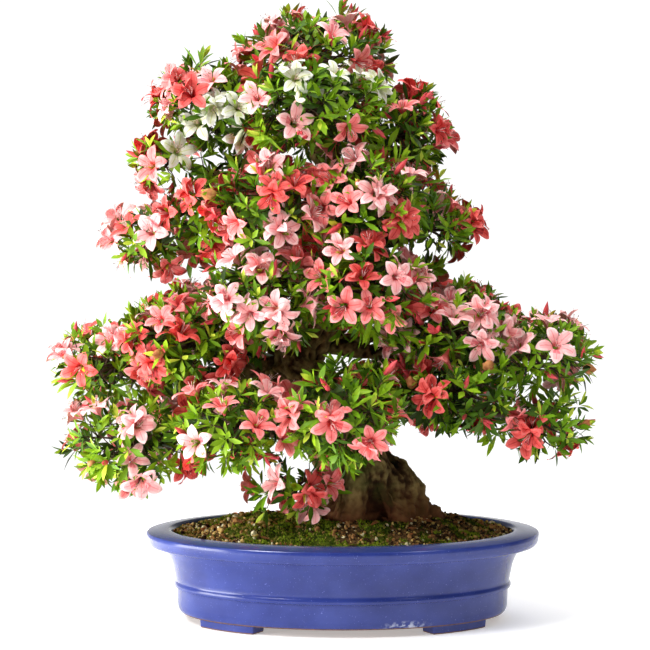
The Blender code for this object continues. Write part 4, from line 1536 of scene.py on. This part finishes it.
@dataclass
class Crown:
    """The whole crown: stems, twigs, leaves, flowers and buds, grown from the limbs by rule.

    The greens weigh the leaf finishes old, dark, green and bright on shoots in the light, on those of a
    shaded mass and on those inside, where the darker finishes are painted shade, and young weighs a
    whorl's middle leaves: like the others, bright or young. Each mass has random numbers of its own,
    from the seed.
    """

    nodes: list[str]
    wood: BVHTree
    layers: tuple = (
        Layer(21.5 * MM, 18 * MM, 6 * MM),
        Layer(29 * MM, 36 * MM, 7 * MM),
        Layer(40 * MM, 55 * MM, 8 * MM),
    )
    outer_depth: float = 27 * MM
    billow: float = 7 * MM
    branch_spacing: float = 60 * MM
    cluster_gap: float = 27 * MM
    long_share: float = 0.2
    bare_share: float = 0.12
    limb_gap: float = 7 * MM
    limb_step: float = 9 * MM
    soil_gap: float = 126 * MM
    cover_reach: float = 42 * MM
    cover_share: float = 0.74
    bud_share: float = 0.16
    spent_share: float = 0.1
    white_drift: float = 1.8
    lit_greens: tuple = (1, 4, 6, 4)
    shaded_greens: tuple = (3, 7, 3, 1)
    inner_greens: tuple = (7, 5, 1, 0)
    lit_young: tuple = (3, 4, 4)
    inner_young: tuple = (8, 1, 0)
    seed: int = 26

    def heads(self, pad: Pad, rng: random.Random) -> list[Head]:
        """Finds the shoot tips of one mass.

        Args:
            pad: The mass.
            rng: The seeded random numbers.

        Returns:
            The heads, outer ones first.
        """
        cell = Cell(pad)
        made = []
        for layer in self.layers:
            if min(pad.radii) < layer.inset + 8 * MM:
                continue
            share = 1 - layer.inset / (sum(pad.radii) / 3)
            count = round(pad.surface() * share**2 / (layer.spacing * pad.airy) ** 2)
            for direction in even_directions(count, rng.uniform(0, math.tau)):
                direction = (direction + Vector(rng.gauss(0, 0.08) for _ in range(3))).normalized()
                billow = noise.noise(direction * 2.3 + pad.middle * 20) * self.billow
                depth = layer.inset + billow + rng.uniform(-layer.spread, layer.spread)
                long = layer is self.layers[0] and rng.random() < self.long_share
                if long:
                    depth -= rng.uniform(6, 15) * MM
                head = self.head_at(pad, cell, direction, depth, rng)
                if head:
                    head.long = long
                    made.append(head)
        return made + self.limb_heads(pad, rng)

    def limb_heads(self, pad: Pad, rng: random.Random) -> list[Head]:
        """Finds the shoots that grow straight from the limb, between the trunk and its mass.

        Args:
            pad: The mass that the limb carries.
            rng: The seeded random numbers.

        Returns:
            The heads, each with its root on the limb.
        """
        limb = Limb(pad)
        made = []
        length = (limb.end - limb.start).length
        count = round(length * max(0.0, limb.entry - 0.3) / self.limb_step)
        for i in range(count):
            t = 0.3 + (limb.entry - 0.3) * (i + rng.random()) / count
            root = limb.point(t)
            along = (limb.point(t + 0.02) - root).normalized()
            around = Matrix.Rotation(i * GOLDEN_ANGLE, 3, along) @ along.orthogonal().normalized()
            axis = (around + along * 0.5 + UP * 0.3).normalized()
            place = root + axis * (limb.radius(t) + rng.uniform(14, 30) * MM)
            free = self.wood.find_nearest(place)[3] > self.limb_gap and place.z > self.soil_gap
            if free and not any(opening.holds(place) for opening in OPENINGS):
                made.append(Head(place, axis, self.outer_depth + 1 * MM, pad, root=root))
        return made

    def head_at(
        self, pad: Pad, cell: Cell, direction: Vector, depth: float, rng: random.Random
    ) -> Head | None:
        """Finds the head at a depth under a mass's surface, in a direction from its middle.

        Args:
            pad: The mass.
            cell: The space that it keeps to.
            direction: From the mass's middle.
            depth: Under the mass's surface.
            rng: The seeded random numbers.

        Returns:
            The head, or None where there is no room or no light for it.
        """
        reach = (pad.at(direction, 1) - pad.middle).length
        place = pad.at(direction, 1 - depth / reach)
        outward = Vector(d / r for d, r in zip(direction, pad.radii)).normalized()
        if cell.depth(place) < 3 * MM or place.z < self.soil_gap:
            return None
        if self.wood.find_nearest(place)[3] < self.limb_gap:
            return None
        in_gap = any(opening.holds(place) for opening in OPENINGS)
        if in_gap and (OPENINGS[0].holds(place) or rng.random() > self.bare_share):
            return None
        bare = in_gap or any(zone.holds(place) for zone in BARE_ZONES)
        ahead = place + outward * self.cover_reach
        if any(other.share_of(ahead) < self.cover_share for other in PADS if other is not pad):
            return None
        wild = Vector(rng.gauss(0, 0.3) for _ in range(3))
        axis = (outward + UP * 0.35 + wild).normalized()
        return Head(place, axis, depth, pad, bare=bare)

    def choose_flowers(self, heads: list[Head], rng: random.Random) -> None:
        """Lets outer heads flower as often as their mass blooms, with room between clusters.

        Args:
            heads: The heads of one mass, which are marked.
            rng: The seeded random numbers.
        """
        taken: list[Vector] = []
        order = [h for h in heads if h.depth < self.outer_depth and not h.bare and not h.long]
        rng.shuffle(order)
        for head in order:
            lift = 0.7 + 0.6 * head.axis.z
            drift = self.white_drift if head.is_white() else 1 + 1.5 * noise.noise(head.place * 12)
            if rng.random() > head.pad.bloom * 2.3 * lift * drift:
                continue
            if all((head.place - other).length > self.cluster_gap for other in taken):
                head.blooms = rng.choices((1, 2, 3), (5, 4, 2))[0]
                taken.append(head.place)

    def twigs_of(self, pad: Pad, heads: list[Head], rng: random.Random) -> Iterator[Shape]:
        """Yields the stem, branches and twigs of one mass.

        The stem goes on from the limb, branches leave it all round, and from each of them a twig runs
        to every head that is nearest to it.

        Args:
            pad: The mass.
            heads: Its heads.
            rng: The seeded random numbers.

        Yields:
            Each piece of wood.
        """
        limb = Limb(pad)
        entry = max(0.0, limb.entry - 0.04)
        steps = [entry + (0.97 - entry) * i / 8 for i in range(9)]
        way = [limb.point(t) for t in steps]
        yield thread(way, [limb.radius(t) * 0.96 for t in steps], 0)
        count = max(5, round(pad.surface() / self.branch_spacing**2))
        forks = []
        for direction in even_directions(count, rng.uniform(0, math.tau)):
            fork = pad.at(direction, 0.5)
            foot = min(way[2:], key=lambda p: (p - fork).length)
            middle = foot.lerp(fork, 0.5) + Vector(rng.gauss(0, 3 * MM) for _ in range(3))
            forks.append((fork, foot, middle))
        used = set()
        for head in heads:
            root = head.place - head.axis * 4 * MM
            if head.root:
                straight = [head.root, head.root.lerp(root, 0.5), root]
                yield thread(straight, [1.1 * MM, 0.9 * MM, 0.6 * MM], 0)
                continue
            k = min(range(count), key=lambda i: (forks[i][0] - root).length)
            used.add(k)
            fork = forks[k][0]
            middle = fork.lerp(root, 0.55) - UP * rng.uniform(0, 4 * MM)
            middle += Vector(rng.gauss(0, 1.8 * MM) for _ in range(3))
            yield thread([fork, middle, root], [1.0 * MM, 0.8 * MM, 0.55 * MM], 0)
        for k in sorted(used):
            fork, foot, middle = forks[k]
            yield thread([foot, middle, fork], [2.2 * MM, 1.7 * MM, 1.1 * MM], 0)

    def build(self) -> None:
        """Grows every mass, and joins its leaves, petals, twigs and small parts, each kind apart."""
        leaves = Batch("azalea_leaves", LEAF_FINISHES)
        petals = Batch("azalea_petals", PETAL_FINISHES)
        small = Batch("azalea_stamens_and_buds", SMALL_FINISHES)
        twigs = Batch("azalea_twigs", (TWIG_FINISH,))
        flower_kit = FlowerKit()
        whorls = LeafKit().whorls()
        shapes_rng = random.Random(flower_kit.seed)
        flowers = [flower_kit.flower(shapes_rng) for _ in range(flower_kit.variants)]
        stamens = [flower_kit.stamens(shapes_rng) for _ in range(flower_kit.variants)]
        buds = [flower_kit.bud(shapes_rng) for _ in range(4)]
        for i, pad in enumerate(PADS):
            rng = random.Random(100 * self.seed + i)
            heads = self.heads(pad, rng)
            self.choose_flowers(heads, rng)
            for twig in self.twigs_of(pad, heads, rng):
                twigs.add(twig, Matrix.Identity(4))
            for head in heads:
                if head.bare:
                    continue
                self.dress_leaves(leaves, head, whorls, rng)
                if head.blooms:
                    self.dress_flowers(petals, small, head, flowers, stamens, rng)
                elif head.depth < self.outer_depth and rng.random() < self.bud_share:
                    self.dress_buds(small, head, buds, rng)
        LOG.info("flowers: %d, whorls: %d", len(petals.shapes), len(leaves.shapes))
        stands_for = self.nodes
        for batch in (leaves, petals, small, twigs):
            for piece in batch.pieces():
                settle(piece, Slot.BARK if batch is twigs else Slot.FOLIAGE, *stands_for)
                stands_for = []

    def dress_leaves(self, leaves: Batch, head: Head, whorls: list[Shape], rng: random.Random) -> None:
        """Adds a whorl to a head: darker inside the mass and on a shaded mass, as painted shade, brighter
        outside it.

        Args:
            leaves: What the whorl is added to.
            head: The shoot's tip.
            whorls: The variants of the whorl, every third a young shoot.
            rng: The seeded random numbers.
        """
        outer = head.depth < self.outer_depth
        # Inner heads and those of a shaded mass take the darker finishes: painted shade
        lit = self.shaded_greens if head.pad.shaded else self.lit_greens
        main = rng.choices(range(4), lit if outer else self.inner_greens)[0]
        second = min(main + 1, 3)
        young = rng.choices((main, 3, 4), self.lit_young if outer else self.inner_young)[0]
        place = head.place - head.axis * (5 * MM if head.blooms else 0)
        matrix = facing(place, head.axis, rng.uniform(0, math.tau), rng.uniform(0.82, 1.15))
        whorl = rng.choice(whorls[2::3]) if head.long else rng.choice(whorls)
        leaves.add(whorl, matrix, np.array([main, second, young]))

    @staticmethod
    def dress_flowers(
        petals: Batch,
        small: Batch,
        head: Head,
        flowers: list[Shape],
        stamens: list[Shape],
        rng: random.Random,
    ) -> None:
        """Adds one to three flowers to a head, splayed, in one of the mass's colours.

        Args:
            petals: What the petals are added to.
            small: What the stamens are added to.
            head: The shoot's tip.
            flowers: The variants of the petals.
            stamens: The variants of the stamens.
            rng: The seeded random numbers.
        """
        strain = rng.choices(DEALT_STRAINS, head.pad.colours)[0].value
        if head.is_white():
            strain = Strain.WHITE.value
        side = head.axis.orthogonal().normalized()
        start = rng.uniform(0, math.tau)
        for i in range(head.blooms):
            splay = rng.uniform(0, 0.3) if head.blooms == 1 else rng.uniform(0.5, 0.9)
            around = Matrix.Rotation(start + math.tau * i / head.blooms, 3, head.axis)
            axis = (head.axis + around @ side * splay).normalized()
            k = rng.randrange(len(flowers))
            turn, size = rng.uniform(0, math.tau), rng.uniform(0.86, 1.06)
            matrix = facing(head.place + axis * 11 * MM, axis, turn, size)
            petals.add(flowers[k], matrix, np.arange(4) + strain)
            small.add(stamens[k], matrix)

    def dress_buds(self, small: Batch, head: Head, buds: list[Shape], rng: random.Random) -> None:
        """Adds one to three buds to a head, coral or white after its place, or a spent bloom.

        Args:
            small: What they are added to.
            head: The shoot's tip.
            buds: The variants of the bud.
            rng: The seeded random numbers.
        """
        if rng.random() < self.spent_share:
            matrix = facing(head.place, head.axis, rng.uniform(0, math.tau), rng.uniform(0.8, 1.1))
            small.add(rng.choice(buds), matrix @ Matrix.Diagonal((2.0, 1.5, 0.7, 1)), np.array([5, 5]))
            return
        for _ in range(rng.choice((1, 1, 2, 3))):
            wild = Vector(rng.gauss(0, 0.3) for _ in range(3))
            axis = (head.axis + wild).normalized()
            matrix = facing(head.place, axis, rng.uniform(0, math.tau), rng.uniform(0.7, 1.1))
            small.add(rng.choice(buds), matrix, np.array([3 if head.is_white() else 2, 4]))


@dataclass(frozen=True)
class Swelling:
    """A knob on the trunk where out is above 0, or a hollow in it. place, size and out in millimetres."""

    place: tuple
    size: tuple
    out: float

    def at(self, point: Vector) -> float:
        """Works out how far it pushes the surface out.

        Args:
            point: A point of the surface.

        Returns:
            The push in metres, less than 0 in a hollow.
        """
        offset = point / MM - Vector(self.place)
        share = Vector(o / s for o, s in zip(offset, self.size)).length
        return self.out * MM * math.exp(-share * share)


# The knob over the right-hand root, its tip, the neck above it, and the roots and hollows in front
SWELLINGS = (
    Swelling((102, -18, 168), (18, 34, 18), 8),
    Swelling((122, -12, 120), (30, 32, 16), 6),
    Swelling((92, 0, 216), (34, 70, 36), -21),
    Swelling((112, -44, 134), (30, 26, 16), 9),
    Swelling((86, -52, 166), (12, 34, 30), -13),
    Swelling((60, -58, 146), (14, 34, 38), -20),
    Swelling((28, -58, 148), (20, 34, 34), 13),
    Swelling((42, -50, 206), (12, 34, 28), -11),
    Swelling((68, -46, 216), (13, 34, 40), 9),
    Swelling((4, -52, 150), (9, 34, 34), -14),
    Swelling((-22, -40, 136), (18, 30, 20), 8),
)


@dataclass
class OldWood:
    """Trunk or boughs with the relief of old bark, worked over a copy of their solids.

    voxel is how finely the copy is remeshed, swell the height of its lumps and ridge that of its bark.
    upright says that the grain follows the trunk.
    """

    name: str
    nodes: list[str]
    voxel: float
    swell: float
    ridge: float
    upright: bool
    seed: float = 0.0

    def copy_of_solids(self) -> bpy.types.Object:
        """Joins copies of the CAD nodes, with doubles merged.

        Returns:
            The joined copy.
        """
        bpy.ops.object.select_all(action="DESELECT")
        copies = []
        for node in self.nodes:
            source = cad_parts[node]
            copy = bpy.data.objects.new(self.name, source.data.copy())
            bpy.context.scene.collection.objects.link(copy)
            copies.append(copy)
        only(copies[0])
        for copy in copies:
            copy.select_set(True)
        bpy.ops.object.join()
        joined = bpy.context.active_object
        bpy.ops.object.mode_set(mode="EDIT")
        bpy.ops.mesh.select_all(action="SELECT")
        bpy.ops.mesh.remove_doubles(threshold=0.01 * MM)
        bpy.ops.object.mode_set(mode="OBJECT")
        return joined

    def grain_place(self, point: Vector) -> Vector:
        """Finds a point's place in the grain, which turns slowly round the trunk.

        Args:
            point: A point of the surface.

        Returns:
            Where the bark's pattern is read.
        """
        if not self.upright:
            return point * 70 + Vector((0, 0, self.seed))
        middle = trunk_point(point.z)
        turn = point.z * 7 + 0.5 * math.sin(point.z * 22)
        x, y = point.x - middle.x, point.y - middle.y
        across = Matrix.Rotation(turn, 3, "Z") @ Vector((x, y, 0))
        return across * 62 + UP * (point.z * 17 + self.seed)

    def relief_at(self, point: Vector) -> float:
        """Works out the bark's height at a point.

        Args:
            point: A point of the surface.

        Returns:
            From about -1 in a furrow to 1 on a ridge.
        """
        place = self.grain_place(point)
        wide = 1 - 2.6 * abs(noise.noise(place))
        narrow = 1 - 2.4 * abs(noise.noise(place * 2.3 + Vector((3, 1, 4))))
        fine = noise.noise(place * 4.6 + Vector((7, 2, 5)))
        plates = noise.noise(point * 170 + Vector((0, 0, self.seed)))
        return 0.5 * wide + 0.32 * narrow + 0.3 * fine + 0.3 * plates

    def build(self) -> None:
        """Remeshes the copy finely, raises the bark on it and gives it its finish."""
        obj = self.copy_of_solids()
        with_modifier(obj, "REMESH", mode="VOXEL", voxel_size=self.voxel)
        with_modifier(obj, "SMOOTH", factor=0.5, iterations=3)
        mesh = obj.data
        heights = np.zeros(len(mesh.vertices))
        normals = [v.normal.copy() for v in mesh.vertices]
        for i, vertex in enumerate(mesh.vertices):
            relief = self.relief_at(vertex.co)
            lumps = noise.noise(vertex.co * 24 + Vector((self.seed, 0, 0)))
            burls = noise.noise(vertex.co * 55 + Vector((0, self.seed, 0)))
            out = lumps * self.swell + burls * self.swell * 0.55 + (relief - 0.2) * self.ridge
            if self.upright:
                shaped = sum(swelling.at(vertex.co) for swelling in SWELLINGS)
                # Hollows among the swellings lower the relief, which paints shade into them
                relief += 0.03 * shaped / MM
                out += shaped
            heights[i] = relief + 0.3 * burls
            vertex.co += normals[i] * out
        # The relief goes to the bark's material, which paints shade, near black, where it is lowest
        attribute = mesh.attributes.new("relief", "FLOAT", "POINT")
        attribute.data.foreach_set("value", 0.5 + 0.5 * heights)
        mesh.materials.clear()
        mesh.materials.append(OldBark(f"azalea_bark_{self.name}").material())
        mesh.shade_smooth()
        settle(obj, Slot.BARK, *self.nodes)


@dataclass(frozen=True)
class Lamp:
    """A square soft light that looks at the plant: its place, its power in watts and its side."""

    name: str
    place: tuple
    watts: float
    size: float

    def build(self) -> None:
        """Adds the light."""
        data = bpy.data.lights.new(self.name, "AREA")
        data.energy = self.watts
        data.size = self.size
        made = bpy.data.objects.new(self.name, data)
        made.location = self.place
        aim = Vector((0, 0, 0.35)) - Vector(self.place)
        made.rotation_euler = aim.to_track_quat("-Z", "Y").to_euler()
        bpy.context.scene.collection.objects.link(made)


LAMPS = (
    Lamp("key_light", (-1.5, -1.6, 2.2), 56, 0.8),
    Lamp("side_light", (-1.3, -0.4, 0.1), 34, 0.9),
    Lamp("fill_light", (1.4, -1.6, 2.0), 8, 0.5),
    Lamp("top_light", (0.1, 0.2, 2.4), 66, 2.6),
)


@dataclass
class Studio:
    """A pale round table, soft light from all round, and the camera at the photograph's angle."""

    camera_place: Vector = field(default_factory=lambda: Vector((0, -2.6, 0.504)))
    camera_aim: Vector = field(default_factory=lambda: Vector((0, 0, 0.349)))
    lens: float = 122.0
    table_radius: float = 1.0
    table_glow: float = 0.36
    left_glow: float = 2.4
    horizon_glow: float = 1.1
    sky_glow: float = 0.22
    room_glow: float = 0.3

    def camera(self) -> None:
        """Adds the camera."""
        data = bpy.data.cameras.new("camera")
        data.lens = self.lens
        data.sensor_width = 36
        made = bpy.data.objects.new("camera", data)
        made.location = self.camera_place
        aim = self.camera_aim - self.camera_place
        made.rotation_euler = aim.to_track_quat("-Z", "Y").to_euler()
        bpy.context.scene.collection.objects.link(made)
        bpy.context.scene.camera = made

    def table(self) -> None:
        """Adds the pale table top."""
        bpy.ops.object.select_all(action="DESELECT")
        bpy.ops.mesh.primitive_circle_add(
            vertices=96, radius=self.table_radius, fill_type="NGON", location=(0, 0, -0.2 * MM)
        )
        table = bpy.context.active_object
        table.name = "table_top"
        bpy.ops.object.transform_apply(location=True, rotation=True, scale=True)
        table.data.materials.append(self.acrylic())

    def acrylic(self) -> bpy.types.Material:
        """Builds the table top's finish: a sheet of milky acrylic that glows, most at the left: painted
        light, from no lamp, that whitens the floor and lights the pot's left side.

        Returns:
            The material.
        """
        made = Mottled("acrylic_sheet_milky", "#F8F8F8", "#FBFBFB", 300, 0.6, bump=0.02).material()
        tree = made.node_tree
        shader = tree.nodes["Principled BSDF"]
        place = add_node(tree, "ShaderNodeTexCoord")
        across = add_node(tree, "ShaderNodeSeparateXYZ", {0: place.outputs["Object"]})
        inputs = {
            "Value": across.outputs["X"],
            "From Min": -0.5,
            "From Max": -0.2,
            "To Min": self.left_glow,
            "To Max": self.table_glow,
        }
        # The glow is painted light: emission strongest at the left, weaker under the plant
        glow = add_node(tree, "ShaderNodeMapRange", inputs)
        tree.links.new(glow.outputs["Result"], shader.inputs["Emission Strength"])
        shader.inputs["Emission Color"].default_value = (1, 1, 1, 1)
        return made

    def surroundings(self) -> None:
        """Adds the studio: white walls behind and to the left, dimmer above and in the room."""
        world = bpy.data.worlds.new("white_surroundings")
        world.use_nodes = True
        tree = world.node_tree
        way = add_node(tree, "ShaderNodeTexCoord")
        height = add_node(tree, "ShaderNodeSeparateXYZ", {0: way.outputs["Generated"]})
        inputs = {
            "Value": height.outputs["Z"],
            "From Min": 0.12,
            "From Max": 0.3,
            "To Min": self.horizon_glow,
            "To Max": self.sky_glow,
        }
        glow = add_node(tree, "ShaderNodeMapRange", inputs)
        aside = {0: height.outputs["X"], 1: -0.6, 2: 0.0}
        leftwards = add_node(tree, "ShaderNodeMath", aside, operation="MULTIPLY_ADD")
        behind = {0: height.outputs["Y"], 1: 0.8, 2: leftwards.outputs[0]}
        towards = add_node(tree, "ShaderNodeMath", behind, operation="MULTIPLY_ADD")
        inputs = {
            "Value": towards.outputs[0],
            "From Min": -0.3,
            "From Max": 0.35,
            "To Min": self.room_glow,
        }
        room = add_node(tree, "ShaderNodeMapRange", inputs)
        both = {0: glow.outputs["Result"], 1: room.outputs["Result"]}
        strength = add_node(tree, "ShaderNodeMath", both, operation="MULTIPLY")
        tree.links.new(strength.outputs[0], tree.nodes["Background"].inputs["Strength"])
        tree.nodes["Background"].inputs["Color"].default_value = (1, 1, 1, 1)
        bpy.context.scene.world = world

    def build(self) -> None:
        """Adds the table, the lights, the surroundings and the camera."""
        self.camera()
        self.table()
        for lamp in LAMPS:
            lamp.build()
        self.surroundings()
        bpy.context.scene.view_settings.view_transform = "Standard"


def wood_tree(nodes: list[str]) -> BVHTree:
    """Builds a search tree of the surfaces of CAD nodes.

    Args:
        nodes: Their names.

    Returns:
        The tree.
    """
    points, faces = [], []
    for node in nodes:
        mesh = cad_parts[node].data
        first = len(points)
        points += [v.co.copy() for v in mesh.vertices]
        faces += [[first + i for i in p.vertices] for p in mesh.polygons]
    return BVHTree.FromPolygons(points, faces)


def main() -> None:
    """Builds the studio, the pot, the soil, the wood and the crown."""
    logging.basicConfig(level=logging.INFO, format="%(name)s: %(message)s")
    names = sorted(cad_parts)
    boughs = [n for n in names if n.startswith("bough_")]
    foliage = [n for n in names if n.startswith("foliage_")]
    Studio().build()
    pot = OvalPot()
    pot.build()
    MossySoil(pot).build()
    wood = wood_tree(["trunk"] + boughs)
    OldWood(
        "trunk_bark", ["trunk"], voxel=1.5 * MM, swell=6.0 * MM, ridge=6.6 * MM, upright=True, seed=5.0
    ).build()
    OldWood(
        "bough_bark", boughs, voxel=1.8 * MM, swell=1.4 * MM, ridge=0.9 * MM, upright=False, seed=9.0
    ).build()
    Crown(foliage, wood).build()
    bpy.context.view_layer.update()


if __name__ == "__main__":
    main()
